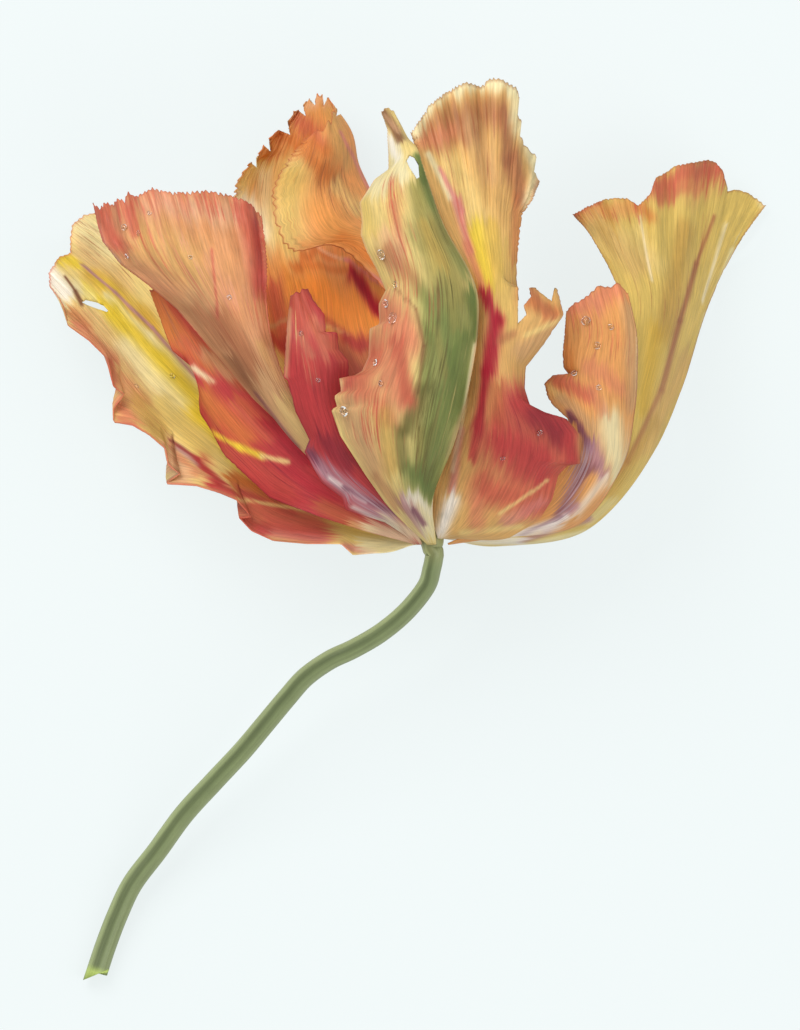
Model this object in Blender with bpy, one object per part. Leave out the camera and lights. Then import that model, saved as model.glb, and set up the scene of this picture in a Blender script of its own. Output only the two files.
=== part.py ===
# Parrot tulip: one cut flower lying on a table, bloom wide open, its stem in a long double bend.
import math

import bpy
import numpy as np

# Driving sizes, in metres unless a name says otherwise.
BLOOM_SPAN = 0.159
SHEET_SPAN = 724.0
UNIT = BLOOM_SPAN / SHEET_SPAN
MM = 0.001
BLADE = 0.70 * MM
STEM_RADIUS_TOP = 2.05 * MM
STEM_RADIUS_LOW = 2.40 * MM

# The flower is drawn on a sheet: points are (across, down) in sheet units, then the height in
# millimetres over the table. The sheet's middle is the row's origin.
SHEET_MIDDLE = (408.1, 531.4)

# The receptacle: where the petals, the stamens and the pistil are seated round the flower's axis.
AXIS_ACROSS = 432.0
AXIS_HEIGHT = 42.0
OUTER_RING = (3.7, 544.0)
INNER_RING = (3.05, 531.0)

# Each petal is a net of rows from its root to its rim, each row from its left edge to its right one.
# The root row is an arc on a ring round the receptacle, from one azimuth to another in degrees.
FRONT_PETAL = {
    "root": (OUTER_RING, 108, 76),
    "rows": (
        ((385, 502, 55.5), (398, 502, 58), (412, 502, 60), (422, 500, 60), (433, 497, 57)),
        ((345, 443, 63), (375, 450, 69), (408, 452, 73), (432, 447, 73), (453, 445, 67)),
        ((335, 402, 66), (370, 400, 75), (412, 397, 80), (445, 393, 79), (467, 392, 72)),
        ((366, 345, 70), (392, 340, 79), (425, 338, 84), (455, 335, 82), (477, 330, 75)),
        ((384, 292, 73), (400, 285, 81), (425, 280, 85), (452, 280, 83), (474, 285, 77)),
        ((362, 237, 72), (385, 232, 79), (412, 228, 83), (432, 228, 82), (444, 228, 78)),
        ((364, 195, 70), (382, 190, 76), (402, 186, 80), (418, 186, 80), (428, 185, 77)),
        ((390, 162, 69), (398, 158, 72), (406, 155, 74), (413, 153, 75), (418, 153, 74)),
        ((387, 131, 65), (393, 132, 66.5), (398, 134, 67.5), (403, 137, 67.5), (408, 141, 66)),
        ((381, 113, 61), (385, 110, 62), (389, 110, 62.5), (393, 113, 62.5), (396, 118, 62)),
    ),
    "left": ((385, 502), (366, 475), (341, 436), (332, 410), (338, 408), (335, 397),
             (342, 392), (340, 379), (352, 378), (362, 373), (369, 358), (370, 330), (380, 326),
             (379, 306), (386, 292), (377, 271), (367, 253), (361, 237), (362, 224), (360, 205),
             (375, 182), (389, 172), (389, 156), (387, 131), (381, 113)),
    "waves": (7, 0, 0.8),
    "cells": (14, 30),
}
RIGHT_INNER_PETAL = {
    "root": (INNER_RING, 66, 22),
    "rows": (
        ((432, 515, 49), (448, 520, 50), (467, 526, 50), (489, 532, 48), (510, 537, 44)),
        ((434, 482, 53), (458, 485, 56), (490, 492, 57), (520, 500, 54), (551, 502, 48)),
        ((449, 437, 59), (474, 437, 63), (505, 442, 64), (540, 445, 60), (580, 450, 52)),
        ((460, 390, 65), (480, 390, 69), (500, 392, 70), (515, 395, 68), (530, 406, 62)),
        ((466, 340, 67), (480, 338, 71), (494, 337, 72), (506, 336, 70), (519, 335, 65)),
        ((468, 285, 70), (480, 283, 71), (492, 281, 71), (504, 280, 69), (516, 280, 65)),
        ((446, 222, 72), (464, 222, 71), (484, 222, 69), (503, 222, 66), (522, 222, 62)),
        ((428, 165, 70), (452, 164, 67), (480, 165, 64), (508, 170, 60), (535, 192, 56)),
        ((410, 134, 66), (434, 101, 61), (472, 84, 57), (515, 92, 54), (540, 180, 51)),
    ),
    "rim": ((410, 134), (422, 117), (429, 106), (444, 94), (456, 87), (467, 82), (480, 87),
            (491, 78), (501, 79), (516, 87), (519, 97), (516, 112), (521, 120), (519, 132),
            (524, 144), (536, 156), (533, 170), (540, 182)),
    "right": ((515, 534), (539, 520), (552, 499), (558, 475), (568, 465), (580, 464), (580, 435),
              (566, 419), (550, 416), (530, 408), (524, 389), (525, 368), (544, 344), (563, 316),
              (556, 288), (552, 303), (544, 306), (525, 284), (526, 318), (519, 312), (516, 280),
              (518, 251), (522, 216), (533, 201), (540, 182)),
    "waves": (6, 5, 1.0),
    "cells": (16, 30),
}
RIGHT_OUTER_PETAL = {
    "root": (OUTER_RING, -9, -37),
    "rows": (
        ((486, 532, 35), (491, 536, 33.2), (496, 540, 31), (499, 543, 28), (500, 546, 25)),
        ((560, 500, 36), (568, 513, 33), (575, 524, 29), (582, 531, 24), (588, 529, 18)),
        ((598, 445, 36), (614, 455, 33), (630, 465, 28), (643, 468, 20), (652, 456, 10)),
        ((610, 385, 38), (630, 388, 35), (650, 390, 29), (667, 390, 18), (684, 388, 4)),
        ((620, 300, 37), (645, 305, 34), (668, 309, 28), (690, 311, 16), (709, 309, 1.2)),
        ((594, 240, 33), (628, 246, 32), (664, 250, 28), (700, 252, 16), (738, 248, 1.5)),
        ((574, 214, 28), (614, 195, 30), (660, 172, 28), (714, 158, 18), (768, 205, 4)),
    ),
    "rim": ((573, 213), (587, 205), (606, 197), (627, 196), (639, 204), (651, 192), (657, 176),
            (669, 169), (677, 163), (695, 160), (710, 157), (717, 158), (725, 167), (731, 188),
            (740, 186), (749, 188), (761, 195), (770, 202)),
    "waves": (5, 5, 1.2),
    "cells": (18, 22),
}
BACK_PETAL = {
    "root": (INNER_RING, 246, 294),
    "rows": (
        ((372, 490, 31), (386, 492, 29), (402, 494, 28), (418, 495, 27.5), (430, 494, 28),
         (441, 492, 29), (450, 490, 31)),
        ((312, 425, 28), (338, 425, 24), (365, 425, 22), (392, 425, 21), (415, 424, 22),
         (430, 422, 25), (440, 420, 29)),
        ((256, 352, 24), (288, 352, 18), (322, 350, 15), (358, 348, 14), (390, 345, 17),
         (405, 340, 22), (412, 335, 28)),
        ((240, 300, 19), (276, 296, 13), (315, 290, 10), (345, 285, 10), (375, 280, 13),
         (397, 281, 22), (388, 294, 29)),
        ((240, 255, 14), (270, 250, 8), (302, 245, 6), (338, 240, 7), (374, 232, 13),
         (376, 240, 25), (336, 246, 32)),
        ((230, 215, 10), (262, 208, 5), (298, 203, 4), (335, 198, 6), (372, 196, 14),
         (338, 222, 30), (288, 250, 34)),
        ((232, 180, 10), (262, 170, 6), (294, 162, 5), (326, 158, 7), (358, 162, 14),
         (325, 186, 28), (270, 200, 32)),
        ((262, 140, 10), (280, 132, 7), (300, 125, 7), (322, 122, 9), (351, 130, 16),
         (330, 150, 27), (284, 162, 32)),
        ((298, 108, 8), (304, 99, 8), (311, 92, 9), (319, 89, 12), (330, 98, 17),
         (328, 116, 24), (303, 138, 29)),
    ),
    "left": ((372, 490), (312, 425), (256, 352), (240, 300), (232, 250), (226, 205), (233, 181),
             (243, 164), (254, 155), (263, 139), (280, 124), (298, 108)),
    "waves": (4, 0, 0.4),
    "cells": (16, 24),
}
LEFT_OUTER_PETAL = {
    "root": (OUTER_RING, 192, 228),
    "rows": (
        ((375, 553, 39), (378, 541, 34), (381, 528, 30), (384, 515, 27), (388, 500, 26)),
        ((290, 543, 42), (290, 520, 32), (293, 495, 25), (300, 465, 20), (310, 435, 18)),
        ((222, 496, 42), (215, 470, 31), (215, 435, 23), (222, 395, 17), (235, 350, 14)),
        ((150, 437, 38), (145, 412, 29), (148, 375, 21), (160, 330, 15), (175, 285, 11)),
        ((105, 365, 32), (98, 345, 25), (100, 315, 18), (112, 275, 8), (128, 235, -2.5)),
        ((62, 305, 24), (50, 288, 20), (50, 262, 13), (66, 236, 3), (92, 209, -5)),
    ),
    "left": ((375, 553), (353, 555), (341, 544), (307, 544), (273, 541), (251, 531),
             (239, 518), (251, 517), (236, 500), (219, 493), (196, 486), (164, 484), (181, 475),
             (168, 466), (165, 449), (149, 435), (132, 425), (113, 422), (113, 408), (124, 395),
             (113, 386), (107, 359), (88, 340), (67, 325), (62, 305)),
    "rim": ((62, 305), (57, 296), (47, 284), (46, 270), (55, 255), (67, 250), (66, 236),
            (68, 221), (80, 211), (92, 209)),
    "waves": (9, 0, 1.0),
    "cells": (18, 26),
}
LEFT_INNER_PETAL = {
    "root": (INNER_RING, 172, 128),
    "rows": (
        ((380, 516, 43), (384, 511, 45.5), (388, 507, 47), (393, 502, 48), (398, 497, 48.5)),
        ((290, 455, 44), (300, 452, 47), (309, 449, 49), (318, 446, 50), (327, 443, 50)),
        ((240, 385, 46), (250, 385, 51), (262, 384, 54), (274, 382, 55), (286, 380, 54)),
        ((176, 308, 46), (198, 312, 53), (222, 315, 57), (246, 316, 58), (269, 318, 56)),
        ((118, 262, 44), (150, 258, 53), (190, 255, 58), (230, 256, 60), (268, 262, 57)),
        ((92, 204, 40), (128, 192, 49), (170, 190, 54), (215, 194, 57), (262, 216, 55)),
    ),
    "rim": ((92, 202), (100, 206), (104, 200), (112, 203), (118, 197), (124, 199), (128, 191),
            (134, 196), (142, 193), (153, 187), (165, 191), (185, 192), (205, 190), (222, 193),
            (238, 197), (250, 203), (262, 215)),
    "left": ((380, 516), (304, 447), (253, 398), (224, 364), (176, 308), (147, 284), (120, 264),
             (102, 241), (97, 224), (92, 202)),
    "waves": (7, 7, 0.9),
    "cells": (20, 22),
}
LEFT_FRONT_LOBE = {
    "root": (OUTER_RING, 150, 127),
    "rows": (
        ((385, 522, 47.5), (389, 517, 49.5), (394, 512, 51), (400, 507, 52), (406, 503, 52.5)),
        ((322, 482, 54), (334, 472, 56), (346, 462, 57.5), (358, 453, 58), (368, 445, 58)),
        ((296, 412, 58), (310, 410, 60), (324, 407, 61), (337, 404, 61), (349, 400, 60)),
        ((285, 368, 60), (300, 366, 62), (316, 364, 63), (332, 362, 63), (347, 360, 62)),
        ((287, 330, 60), (297, 328, 61), (307, 326, 62), (316, 326, 62), (326, 326, 61)),
        ((291, 296, 58), (295, 293, 59), (299, 291, 59), (303, 289, 59), (308, 289, 58)),
    ),
    "left": ((385, 522), (345, 509), (343, 498), (322, 482), (305, 452), (310, 440), (296, 412),
             (288, 382), (284, 378), (287, 327), (291, 296)),
    "right": ((406, 503), (368, 445), (349, 400), (349, 362), (339, 350), (338, 333), (327, 334),
              (325, 315), (314, 301), (308, 289)),
    "waves": (4, 1, 0.5),
    "cells": (8, 18),
}
RIGHT_SIDE_LOBE = {
    "root": (OUTER_RING, 19, -1),
    "rows": (
        ((478, 529, 42), (482, 532, 41.2), (487, 534, 40), (491, 536, 38.5), (494, 538, 36.8)),
        ((530, 500, 44), (545, 508, 43.5), (558, 517, 41.5), (568, 524, 38), (578, 525, 34)),
        ((565, 455, 47), (580, 460, 47.5), (596, 466, 46), (612, 472, 42), (622, 466, 37)),
        ((560, 412, 50), (580, 412, 51.5), (600, 414, 51), (619, 414, 48), (635, 410, 43)),
        ((550, 376, 50), (574, 374, 52), (597, 371, 52), (618, 368, 50), (638, 365, 46)),
        ((564, 335, 49), (583, 332, 51), (602, 329, 51), (620, 328, 50), (637, 335, 47)),
        ((566, 311, 47), (576, 302, 48), (593, 290, 49), (612, 285, 48.5), (628, 293, 47)),
    ),
    "left": ((478, 529), (530, 500), (565, 455), (568, 419), (552, 405), (547, 397), (544, 384),
             (552, 376), (571, 377), (563, 368), (562, 354), (566, 311)),
    "rim": ((566, 311), (574, 303), (584, 298), (598, 285), (611, 287), (617, 282), (628, 293)),
    "waves": (4, 1, 0.5),
    "cells": (10, 18),
}
LEFT_SIDE_LOBE = {
    "root": (OUTER_RING, 183, 164),
    "rows": (
        ((372, 533, 39.5), (375, 528, 40), (379, 523, 40.2), (383, 518, 40), (386, 513, 39.4)),
        ((310, 515, 40), (312, 502, 40.5), (315, 488, 40.5), (318, 474, 40.5), (320, 460, 40)),
        ((262, 494, 38), (264, 472, 39), (268, 450, 40), (276, 430, 40), (286, 412, 39)),
        ((200, 425, 37), (208, 408, 39), (218, 392, 40), (230, 375, 40), (245, 360, 39)),
        ((172, 352, 37), (178, 345, 38), (186, 337, 39), (194, 328, 39), (204, 318, 38)),
        ((149, 289, 37), (152, 288, 37.5), (156, 287, 38), (160, 288, 38), (164, 291, 38)),
    ),
    "left": ((372, 533), (320, 517), (270, 498), (224, 456), (210, 430), (199, 413), (198, 398),
             (205, 380), (188, 364), (171, 350), (149, 288)),
    "waves": (4, 0, 0.5),
    "cells": (8, 18),
}

# The least share of an edge's run between two drawn points, so that a notch isn't lost.
LEAST_STEP = 0.006

# The stem's middle line, from the neck under the bloom to its slanted cut end.
STEM_LINE = ((435, 553, 42), (432, 568, 40.5), (426, 587, 38), (406, 612, 34.5), (381, 633, 31.5),
             (354, 649, 28.5), (329, 661, 26), (305, 678, 23), (287, 698, 20.5), (262, 728, 17.5),
             (241, 753, 15), (213, 783, 12), (182, 817, 9), (155, 854, 6.5), (130, 887, 4.8),
             (115, 918, 3.6), (103, 949, 2.8), (93, 979, 2.5))
RECEPTACLE = ((521.0, 0.3), (522.0, 1.2), (524.5, 1.8), (529.0, 2.2), (534.0, 2.45), (539.0, 2.6),
              (544.0, 2.5), (548.0, 2.2))
CUT_SLANT = 0.9
STEM_SIDES = 14
STEM_RINGS = 34

# The pistil and the stamens stand up the axis inside the petals.
PISTIL_PROFILE = ((519.0, 0.9), (510.0, 1.5), (495.0, 2.0), (470.0, 2.1), (446.0, 1.7), (436.0, 1.3))
STIGMA_LEVEL = (436.0, 427.0)
STIGMA_REACH = 2.6
STAMEN_COUNT = 6
STAMEN_FOOT = (1.9, 520.0)
STAMEN_MIDDLE = (4.2, 492.0)
STAMEN_HEAD = (5.4, 466.0)
FILAMENT_RADIUS = 0.45
ANTHER_LENGTH = 44.0
ANTHER_RADIUS = 0.95
ROUND_SIDES = 10

PETALS = {
    "front_petal": (FRONT_PETAL, "#8B9B3C"),
    "right_inner_petal": (RIGHT_INNER_PETAL, "#D9A545"),
    "right_outer_petal": (RIGHT_OUTER_PETAL, "#E0A94A"),
    "back_petal": (BACK_PETAL, "#E08A38"),
    "left_outer_petal": (LEFT_OUTER_PETAL, "#F0BE28"),
    "left_inner_petal": (LEFT_INNER_PETAL, "#DE8552"),
    "left_front_lobe": (LEFT_FRONT_LOBE, "#CE4440"),
    "right_side_lobe": (RIGHT_SIDE_LOBE, "#DC9468"),
    "left_side_lobe": (LEFT_SIDE_LOBE, "#C4452A"),
}


def clear_scene():
    """Remove whatever the scene starts with."""
    for item in list(bpy.data.objects):
        bpy.data.objects.remove(item, do_unlink=True)


def linear(hex_colour):
    """The linear colour of an sRGB hex code."""
    parts = [int(hex_colour[i:i + 2], 16) / 255 for i in (1, 3, 5)]
    return tuple(((c + 0.055) / 1.055) ** 2.4 if c > 0.04045 else c / 12.92 for c in parts) + (1.0,)


def plain_material(name, hex_colour, roughness=0.55):
    """A Principled material of one colour."""
    material = bpy.data.materials.new(name)
    material.use_nodes = True
    shader = material.node_tree.nodes["Principled BSDF"]
    shader.inputs["Base Color"].default_value = linear(hex_colour)
    shader.inputs["Roughness"].default_value = roughness
    shader.inputs["Metallic"].default_value = 0.0
    return material


def placed(points):
    """Sheet points (across, down, height in mm) as metres in the row's frame."""
    points = np.asarray(points, dtype=float)
    x = (points[..., 0] - SHEET_MIDDLE[0]) * UNIT
    y = (SHEET_MIDDLE[1] - points[..., 1]) * UNIT
    z = points[..., 2] * MM
    return np.stack([x, y, z], axis=-1)


def smooth_curve(points, count):
    """Count + 1 points on the smooth curve through the given ones, even in their index."""
    points = np.asarray(points, dtype=float)
    padded = np.concatenate([[2 * points[0] - points[1]], points, [2 * points[-1] - points[-2]]])
    place = np.linspace(0, len(points) - 1, count + 1)
    step = np.minimum(place.astype(int), len(points) - 2)
    part = (place - step).reshape((-1,) + (1,) * (points.ndim - 1))
    a, b, c, d = (padded[step + k] for k in range(4))
    return b + 0.5 * part * (c - a + part * (2 * a - 5 * b + 4 * c - d
                                             + part * (3 * (b - c) + d - a)))


def ease(value):
    """A soft step from 0 to 1."""
    value = np.clip(value, 0, 1)
    return value * value * (3 - 2 * value)


def ring_point(radius, degrees, down):
    """The sheet point at an azimuth round the flower's axis; 90 degrees faces up from the table."""
    turn = math.radians(degrees)
    across = AXIS_ACROSS + radius * MM / UNIT * math.cos(turn)
    return (across, down, AXIS_HEIGHT + radius * math.sin(turn))


def root_row(root, columns):
    """A petal's root: an arc of points on its ring round the receptacle."""
    (radius, down), first, last = root
    return [ring_point(radius, first + (last - first) * i / (columns - 1), down)
            for i in range(columns)]


def edge_shift(curve, outline):
    """How far each point of a net's edge lies from the drawn outline, matched by the nearest place."""
    if outline is None:
        return np.zeros_like(curve)
    outline = np.asarray(outline, dtype=float)
    place = np.arange(len(curve), dtype=float)
    fine = np.linspace(0, len(curve) - 1, 20 * len(curve))
    track = np.stack([np.interp(fine, place, curve[:, k]) for k in (0, 1)], axis=1)
    gap = np.hypot(outline[:, None, 0] - track[None, :, 0], outline[:, None, 1] - track[None, :, 1])
    met = fine[gap.argmin(axis=1)]
    met[0], met[-1] = 0, place[-1]
    for k in range(1, len(met)):
        met[k] = max(met[k], met[k - 1] + LEAST_STEP * place[-1])
    shift = np.zeros_like(curve)
    shift[:, 0] = np.interp(place, met, outline[:, 0]) - curve[:, 0]
    shift[:, 1] = np.interp(place, met, outline[:, 1]) - curve[:, 1]
    return shift


def petal_surface(petal):
    """The petal's middle surface, (along, across, 3) in metres: a smooth net with its cut outline and
    its waves.

    The net is splined along and across. Each drawn edge then pulls the net to itself, fading inward
    over a third of the blade. Last, a sine wave lifts the margins, rising from nothing at the midrib,
    and the blade lies flat where it meets the table.
    """
    across, along = petal["cells"]
    rows = np.array([root_row(petal["root"], len(petal["rows"][0]))] + list(petal["rows"]), float)
    net = smooth_curve(rows, along)
    net = np.swapaxes(smooth_curve(np.swapaxes(net, 0, 1), across), 0, 1)
    u = np.linspace(0, 1, across + 1)[None, :, None]
    v = np.linspace(0, 1, along + 1)[:, None, None]
    first = int(np.ceil(along / len(petal["rows"])))
    left, right, rim = (np.zeros((n, 3)) for n in (along + 1, along + 1, across + 1))
    left[first:] = edge_shift(net[first:, 0], petal.get("left"))
    right[first:] = edge_shift(net[first:, -1], petal.get("right"))
    rim = edge_shift(net[-1], petal.get("rim"))
    near_left, near_right, near_rim = 1 - ease(u / 0.36), 1 - ease((1 - u) / 0.36), ease((v - 0.7) / 0.3)
    shift = left[:, None] * near_left + right[:, None] * near_right + rim[None] * near_rim
    shift -= near_rim * (left[-1] * near_left + right[-1] * near_right)
    net = net + shift
    side_count, rim_count, height = petal["waves"]
    side = (2 * np.abs(u - 0.5)) ** 2 * ease(v / 0.3)
    lift = np.sin(2 * math.pi * side_count * v + 5 * u) * side
    lift = lift + np.sin(2 * math.pi * rim_count * u) * near_rim
    net[..., 2] = np.maximum(net[..., 2] + height * lift[..., 0], BLADE / MM / 2)
    return placed(net)


def blade_normals(surface):
    """Unit normals of a grid surface."""
    normal = np.cross(np.gradient(surface, axis=1), np.gradient(surface, axis=0))
    return normal / np.linalg.norm(normal, axis=-1, keepdims=True)


def blade_mesh(surface, thickness):
    """Vertices and triangles of a closed blade: both faces with the same diagonals, and a side wall."""
    offset = blade_normals(surface) * thickness / 2
    rows, columns = surface.shape[:2]
    points = np.concatenate([(surface + offset).reshape(-1, 3), (surface - offset).reshape(-1, 3)])
    index = np.arange(rows * columns).reshape(rows, columns)
    a, b, c, d = (s.ravel() for s in (index[:-1, :-1], index[:-1, 1:], index[1:, 1:], index[1:, :-1]))
    top = np.concatenate([np.stack([a, b, c], 1), np.stack([a, c, d], 1)])
    bottom = top[:, ::-1] + rows * columns
    loop = np.concatenate([index[0], index[1:, -1], index[-1, -2::-1], index[-2:0:-1, 0]])
    after = np.roll(loop, -1)
    under = rows * columns
    wall = np.concatenate([np.stack([after, loop, loop + under], 1),
                           np.stack([after, loop + under, after + under], 1)])
    return points, np.concatenate([top, bottom, wall])


def tube_mesh(line, radii, sides, slant=0.0, lobes=0, lobe_depth=0.0):
    """Vertices and triangles of a closed round tube along a line, its rings kept untwisted.

    A slant leans the last ring along the line, as a knife cuts a stem. Lobes ripple each ring's
    radius by a cosine.
    """
    line = np.asarray(line)
    way = np.gradient(line, axis=0)
    way /= np.linalg.norm(way, axis=1, keepdims=True)
    side = np.cross(way, (0.0, 0.0, 1.0))
    side /= np.linalg.norm(side, axis=1, keepdims=True)
    rise = np.cross(side, way)
    turn = np.arange(sides) * 2 * math.pi / sides
    swell = 1 + lobe_depth * np.cos(lobes * turn)
    around = side[:, None] * np.cos(turn)[None, :, None] + rise[:, None] * np.sin(turn)[None, :, None]
    rings = line[:, None] + around * (np.asarray(radii)[:, None] * swell)[..., None]
    rings[-1] += way[-1] * (slant * radii[-1] * np.cos(turn))[:, None]
    count = len(line)
    points = np.concatenate([rings.reshape(-1, 3), line[:1], rings[-1].mean(0)[None]])
    index = np.arange(count * sides).reshape(count, sides)
    follow = np.roll(index, -1, axis=1)
    a, b, c, d = index[:-1].ravel(), follow[:-1].ravel(), follow[1:].ravel(), index[1:].ravel()
    first, last = count * sides, count * sides + 1
    caps = [np.stack([np.full(sides, first), follow[0], index[0]], 1),
            np.stack([np.full(sides, last), index[-1], follow[-1]], 1)]
    return points, np.concatenate([np.stack([a, b, c], 1), np.stack([a, c, d], 1)] + caps)


def make_piece(name, points, triangles, hex_colour):
    """One named object from vertices and triangles, its faces turned outward."""
    mesh = bpy.data.meshes.new(name)
    mesh.from_pydata(points.tolist(), [], triangles.tolist())
    corners = points[triangles]
    volume = np.einsum("ij,ij->i", corners[:, 0], np.cross(corners[:, 1], corners[:, 2])).sum()
    if volume < 0:
        mesh.flip_normals()
    mesh.validate()
    piece = bpy.data.objects.new(name, mesh)
    bpy.context.scene.collection.objects.link(piece)
    mesh.materials.append(plain_material(name + "_skin", hex_colour))
    return piece


def make_petals():
    """The six petals and the three narrow side lobes."""
    for name, (petal, hex_colour) in PETALS.items():
        points, triangles = blade_mesh(petal_surface(petal), BLADE)
        make_piece(name, points, triangles, hex_colour)


def make_stem():
    """The stem with the receptacle's swelling at its head, in one tube."""
    head = [(AXIS_ACROSS, down, AXIS_HEIGHT) for down, _ in RECEPTACLE]
    body = smooth_curve(STEM_LINE, STEM_RINGS)
    line = placed(np.concatenate([head, body]))
    share = np.linspace(0, 1, len(body))
    radii = np.concatenate([[radius * MM for _, radius in RECEPTACLE],
                            STEM_RADIUS_TOP + (STEM_RADIUS_LOW - STEM_RADIUS_TOP) * share])
    points, triangles = tube_mesh(line, radii, STEM_SIDES, slant=CUT_SLANT)
    make_piece("stem", points, triangles, "#6F8650")


def make_pistil():
    """The pistil: a three-sided ovary under a stigma of three lobes."""
    downs = [down for down, _ in PISTIL_PROFILE] + list(STIGMA_LEVEL)
    radii = [radius * MM for _, radius in PISTIL_PROFILE] + [STIGMA_REACH * MM, 0.6 * STIGMA_REACH * MM]
    line = placed([(AXIS_ACROSS, down, AXIS_HEIGHT) for down in downs])
    points, triangles = tube_mesh(line, radii, 2 * ROUND_SIDES - 2, lobes=3, lobe_depth=0.16)
    make_piece("pistil", points, triangles, "#C9CE7A")


def make_stamens():
    """Six stamens round the pistil, each a slim filament that swells into a long anther."""
    for number in range(STAMEN_COUNT):
        degrees = 360 / STAMEN_COUNT * (number + 0.5)
        knots = [ring_point(radius, degrees, down)
                 for radius, down in (STAMEN_FOOT, STAMEN_MIDDLE, STAMEN_HEAD)]
        knots.append(ring_point(STAMEN_HEAD[0] + 0.6, degrees, STAMEN_HEAD[1] - ANTHER_LENGTH))
        line = placed(smooth_curve(knots, 12))
        share = np.linspace(0, 3, 13)
        anther = np.sin(np.clip((share - 2.0), 0, 1) * math.pi) ** 0.5
        radii = (FILAMENT_RADIUS + (ANTHER_RADIUS - FILAMENT_RADIUS) * anther) * MM
        points, triangles = tube_mesh(line, radii, 8)
        make_piece("stamen_" + str(number + 1), points, triangles, "#3A2233")


def main():
    clear_scene()
    make_stem()
    make_petals()
    make_pistil()
    make_stamens()


main()
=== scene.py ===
# How the parrot tulip looks: fine petals painted by washes and streaks, its stem, dew, table and light.
import math

import bpy
import numpy as np
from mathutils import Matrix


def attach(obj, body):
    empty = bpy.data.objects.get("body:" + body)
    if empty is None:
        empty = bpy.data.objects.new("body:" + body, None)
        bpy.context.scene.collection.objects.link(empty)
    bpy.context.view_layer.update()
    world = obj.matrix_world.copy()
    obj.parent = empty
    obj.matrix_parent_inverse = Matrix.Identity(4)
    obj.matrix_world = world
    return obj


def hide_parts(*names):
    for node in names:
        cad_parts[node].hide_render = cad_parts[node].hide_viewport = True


# The bloom's real span in metres gives the size of one unit of the drawing sheet, as in the solids. The
# frame's origin lies at the middle of the sheet.
BLOOM_SPAN = 0.159
SHEET_SPAN = 724.0
UNIT = BLOOM_SPAN / SHEET_SPAN
MM = 0.001
SHEET_MIDDLE = (408.1, 531.4)

# Thickness of a petal's blade, the least height of its middle over the table in mm, and the stem's radius.
BLADE = 0.42 * MM
REST_LIFT = 0.35
STEM_RADIUS_TOP = 2.05 * MM
STEM_RADIUS_LOW = 2.40 * MM

# The flower's axis: its sheet place and its height in mm. The petals' roots lie on rings round it, each a
# radius in mm and a sheet level. The two right petals use the low one, so that the bloom closes over the
# stem's head.
AXIS_ACROSS = 432.0
AXIS_HEIGHT = 42.0
OUTER_RING = (3.7, 544.0)
INNER_RING = (3.05, 531.0)
LOW_RING = (3.05, 538.0)

# Each petal is a net of rows from its root to its rim, each row from its left edge to its right one.
# The root row is an arc on a ring round the receptacle, from one azimuth to another in degrees.
FRONT_PETAL = {
    "root": (OUTER_RING, 108, 76),
    "rows": (
        ((385, 502, 55.5), (398, 502, 58), (412, 502, 60), (422, 500, 60), (433, 497, 57)),
        ((345, 443, 63), (375, 450, 69), (408, 452, 73), (432, 447, 73), (453, 445, 67)),
        ((335, 402, 66), (370, 400, 75), (412, 397, 80), (445, 393, 79), (467, 392, 72)),
        ((366, 345, 70), (392, 340, 79), (425, 338, 84), (455, 335, 82), (477, 330, 75)),
        ((384, 292, 73), (400, 285, 81), (425, 280, 85), (452, 280, 83), (474, 285, 77)),
        ((362, 237, 72), (385, 232, 79), (412, 228, 83), (432, 228, 82), (444, 228, 78)),
        ((364, 195, 70), (382, 190, 76), (402, 186, 80), (418, 186, 80), (428, 185, 77)),
        ((390, 162, 69), (398, 158, 72), (406, 155, 74), (413, 153, 75), (418, 153, 74)),
        ((387, 131, 65), (393, 132, 66.5), (398, 134, 67.5), (403, 137, 67.5), (408, 141, 66)),
        ((381, 113, 61), (385, 110, 62), (389, 110, 62.5), (393, 113, 62.5), (396, 118, 62)),
    ),
    "left": ((385, 502), (366, 475), (341, 436), (332, 410), (338, 408), (335, 397),
             (342, 392), (340, 379), (352, 378), (362, 373), (369, 358), (370, 330), (380, 326),
             (379, 306), (386, 292), (377, 271), (367, 253), (361, 237), (362, 224), (360, 205),
             (375, 182), (389, 172), (389, 156), (387, 131), (381, 113)),
    "waves": (7, 0, 0.8),
}
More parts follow.
